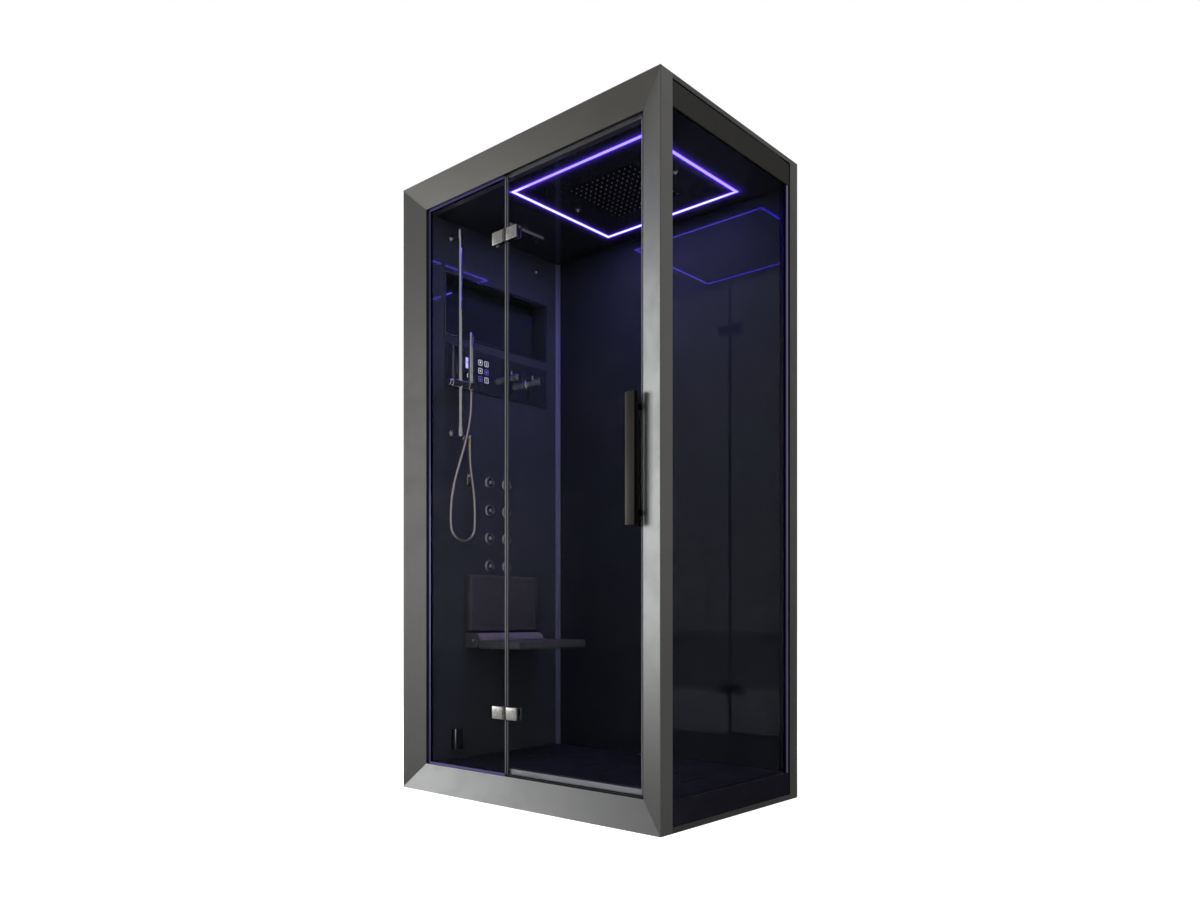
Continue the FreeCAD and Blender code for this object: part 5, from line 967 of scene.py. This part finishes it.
# ------------------------------------------------ steam outlet and sensor
# A chromed-edge black cover near the floor sends the steam down through its slats. A small domed
# temperature sensor sits high on the same wall.
HOOD, COVER_WALL, SLATS, SLAT_FOOT, SLAT_PITCH = 0.040, 0.005, 4, 0.008, 0.008
steam_black = moulded("steam cover", (0.020, 0.020, 0.022), (0.032, 0.032, 0.034), 0.25, 900, 0.1)
low, high = corners("steam_outlet")
side_top = low.z + HOOD + 0.005
cover = bmesh.new()
block(cover, (low.x, low.y, low.z + HOOD), high, 0.003, 3, edge_finish=1)
block(cover, low, (low.x + COVER_WALL, high.y, side_top), 0.0015)
block(cover, (high.x - COVER_WALL, low.y, low.z), (high.x, high.y, side_top), 0.0018, edge_finish=1)
for y in (low.y, high.y - COVER_WALL):
    block(cover, (low.x + 0.002, y, low.z), (high.x - 0.002, y + COVER_WALL, side_top), 0.0015)
for k in range(SLATS):
    z = low.z + SLAT_FOOT + SLAT_PITCH * k
    block(cover, (low.x + 0.004, low.y + 0.004, z), (high.x - 0.004, high.y - 0.004, z + 0.0025), 0.0006)
from_bmesh("steam_outlet_cover", cover, [steam_black, chrome], replaces="steam_outlet")

sensor = bmesh.new()
dome = [(0, 0), (0, 0.011), (0.002, 0.011), (0.003, 0.010), (0.0032, 0.008), (0.0065, 0.0072)]
lathe(sensor, dome + [(0.0095, 0.0048), (0.011, 0)], (WALL_FACE, 0.216, 2.073), X, 32)
from_bmesh("sensor_dome", sensor, [chrome], replaces="temperature_sensor")


# ------------------------------------------------ door hinges and handle
# Cast glass clamps in satin chrome with countersunk screws and dark barrels, and a slim dark handle
# whose two bars are bolted together through the glass.
PIVOT_X, PIVOT_Y = -0.090, -0.359
LEAF_HALF, LEAF_FAR, LEAF_SCREW = 0.0215, 0.060, 0.042
LEAF_OUTSIDE, LEAF_INSIDE, SCREW_LIFT = -0.365, -0.337, 0.011
KNUCKLE_HALF, KNUCKLE_FROM = 0.00692, 0.00742
hinge_steel = drawn_metal("hinge chrome", (0.15, 0.146, 0.141), (0.20, 0.194, 0.187), 0.24, 200, 0.04)
barrel_dark = drawn_metal("hinge barrel", (0.040, 0.034, 0.030), (0.060, 0.050, 0.044), 0.3, 200, 0.04)


def hinge_leaf(bm, z, sign):
    """Outer and inner plate of one leaf. sign is -1 on the fixed side and 1 on the door."""
    outside, inside = (0.0085, LEAF_OUTSIDE, -0.353, 0.0016), (0.010, -0.345, LEAF_INSIDE, 0.0014)
    for near, front, rear, bevel in (outside, inside):
        x = sorted((PIVOT_X + sign * near, PIVOT_X + sign * LEAF_FAR))
        block(bm, (x[0], front, z - LEAF_HALF), (x[1], rear, z + LEAF_HALF), bevel, 3)
    for lift in (-SCREW_LIFT, SCREW_LIFT):
        x = PIVOT_X + sign * LEAF_SCREW
        screw(bm, (x, LEAF_OUTSIDE, z + lift), -Y, 0.0042, 0.0008)
        screw(bm, (x, LEAF_INSIDE, z + lift), Y, 0.0050, 0.0020)


def knuckle(bm, foot, top, sign):
    """One knuckle of the barrel with its web."""
    long = top - foot
    barrel = [(0, 0.00305), (0, 0.0074), (0.0006, 0.008), (long - 0.0006, 0.008), (long, 0.0074)]
    barrel += [(long, 0.00305), barrel[0]]
    lathe(bm, barrel, (PIVOT_X, PIVOT_Y, foot), Z, 32, finish=1)
    x = sorted((PIVOT_X + sign * 0.005, PIVOT_X + sign * 0.0095))
    block(bm, (x[0], -0.364, foot + 0.0003), (x[1], -0.355, top - 0.0003), finish=1)


fixed, moving = bmesh.new(), bmesh.new()
for z in HINGE_HEIGHTS:
    hinge_leaf(fixed, z, -1)
    knuckle(fixed, z - LEAF_HALF, z - KNUCKLE_FROM, -1)
    knuckle(fixed, z + KNUCKLE_FROM, z + LEAF_HALF, -1)
    hinge_leaf(moving, z, 1)
    knuckle(moving, z - KNUCKLE_HALF, z + KNUCKLE_HALF, 1)
finishes = [hinge_steel, barrel_dark]
from_bmesh("hinge_leaves_fixed", fixed, finishes, replaces="hinge_fixed_leaves")
from_bmesh("hinge_leaves_door", moving, finishes, "door", "door_hinge_leaves")
dress(screw_steel, "pivot_pins")

HANDLE_X, HANDLE_FOOT, HANDLE_TOP = 0.458, 0.910, 1.310
handle_bronze = drawn_metal(
    "handle bronze", (0.014, 0.0125, 0.0115), (0.021, 0.019, 0.0175), 0.36, (900, 900, 7), 0.2
)
handle = bmesh.new()
block(handle, (HANDLE_X, -0.388, HANDLE_FOOT), (0.494, -0.369, HANDLE_TOP), 0.0015, 3)
block(handle, (HANDLE_X, -0.329, HANDLE_FOOT), (0.484, -0.310, HANDLE_TOP), 0.0015, 3)
bolt = [(-0.0005, 0), (-0.0005, 0.0065), (0.0145, 0.0065), (0.015, 0.011), (0.016, 0.011), (0.016, 0.0069)]
bolt += [(0.024, 0.0069), (0.024, 0.011), (0.025, 0.011), (0.0255, 0.0065), (0.0405, 0.0065), (0.0405, 0)]
for z in (HANDLE_FOOT + 0.04, HANDLE_TOP - 0.04):
    lathe(handle, bolt, (0.473, -0.369, z), Y, 32)
from_bmesh("door_pull_handle", handle, [handle_bronze], "door", "door_handle")


# ------------------------------------------------ services
# Steam generator, power box, mixer body and pipes in the space behind the wall. They are plain
# steel, paint, cast brass and copper.
dress(
    drawn_metal("generator steel", (0.38, 0.39, 0.40), (0.50, 0.51, 0.52), 0.34, (8, 500, 500), 0.2),
    "steam_generator",
)
dress(moulded("power box paint", (0.20, 0.205, 0.21), (0.26, 0.265, 0.27), 0.45), "power_box")
dress(drawn_metal("copper pipe", (0.48, 0.24, 0.14), (0.62, 0.34, 0.21), 0.30, 300, 0.1), "pipework")
dress(drawn_metal("cast brass", (0.42, 0.32, 0.15), (0.55, 0.43, 0.22), 0.36, 250, 0.3), "mixer_valve")


# ------------------------------------------------ floor, world and lights
# A plain white floor and sky, soft panels from the left and the front, a broad key from high on the
# right, and the loop's own violet light inside the cabin.
FLOOR_LIFT, SKY_LOW, SKY_HIGH = 0.62, 0.55, 1.0
stage_mesh = bpy.data.meshes.new("floor")
ground = bmesh.new()
bmesh.ops.create_grid(ground, x_segments=1, y_segments=1, size=30)
ground.to_mesh(stage_mesh)
ground.free()
floor = link("floor", stage_mesh)
floor_white, tree, shader = new_material(
    "white floor", (0.85, 0.85, 0.85), roughness=0.9, Specular_IOR_Level=0.0, Emission_Color=(1, 1, 1, 1)
)
rays = add(tree, "ShaderNodeLightPath").outputs
wire(tree, (maths(tree, "MULTIPLY", rays["Is Camera Ray"], FLOOR_LIFT), shader.inputs["Emission Strength"]))
stage_mesh.materials.append(floor_white)

world = bpy.data.worlds.new("studio")
scene.world = world
world.use_nodes = True
tree = world.node_tree
back = tree.nodes["Background"]
back.inputs["Color"].default_value = (1, 1, 1, 1)
rays = add(tree, "ShaderNodeLightPath").outputs
seen = maths(tree, "MAXIMUM", rays["Is Camera Ray"], rays["Is Glossy Ray"])
seen = maths(tree, "MAXIMUM", seen, rays["Is Transmission Ray"])
wire(tree, (ramp(tree, seen, To_Min=SKY_LOW, To_Max=SKY_HIGH), back.inputs["Strength"]))


def soft_light(name, place, aim, size, power, color=(1, 1, 1), glossy=True):
    """A large area light that points at a place and isn't seen through the glass."""
    lamp = bpy.data.lights.new(name, "AREA")
    lamp.shape = "RECTANGLE"
    lamp.size, lamp.size_y = size
    lamp.energy = power
    lamp.color = color
    obj = link(name, lamp)
    obj.location = place
    obj.rotation_euler = (Vector(aim) - Vector(place)).to_track_quat("-Z", "Y").to_euler()
    obj.visible_camera = False
    obj.visible_glossy = glossy
    obj.visible_transmission = False


soft_light("front_soft", (-0.7, -4.6, 1.6), (-0.5, -0.4, 1.1), (1.6, 2.6), 30)
soft_light("left_soft", (-3.6, -1.3, 1.72), (0.5, -0.4, 1.36), (1.8, 3.0), 102, (0.91, 0.97, 1.0))
soft_light("low_left_soft", (-3.3, -2.7, 1.0), (-0.4, -0.4, 0.1), (2.2, 1.3), 56)
soft_light("key", (2.6, -4.0, 3.6), (0, 0, 1.0), (2.4, 2.4), 150, glossy=False)
soft_light("loop_glow", (0.143, 0, 2.12), (0.143, 0, 0), (0.56, 0.50), 8, (0.48, 0.40, 1.0), glossy=False)

scene.view_settings.view_transform = "Standard"
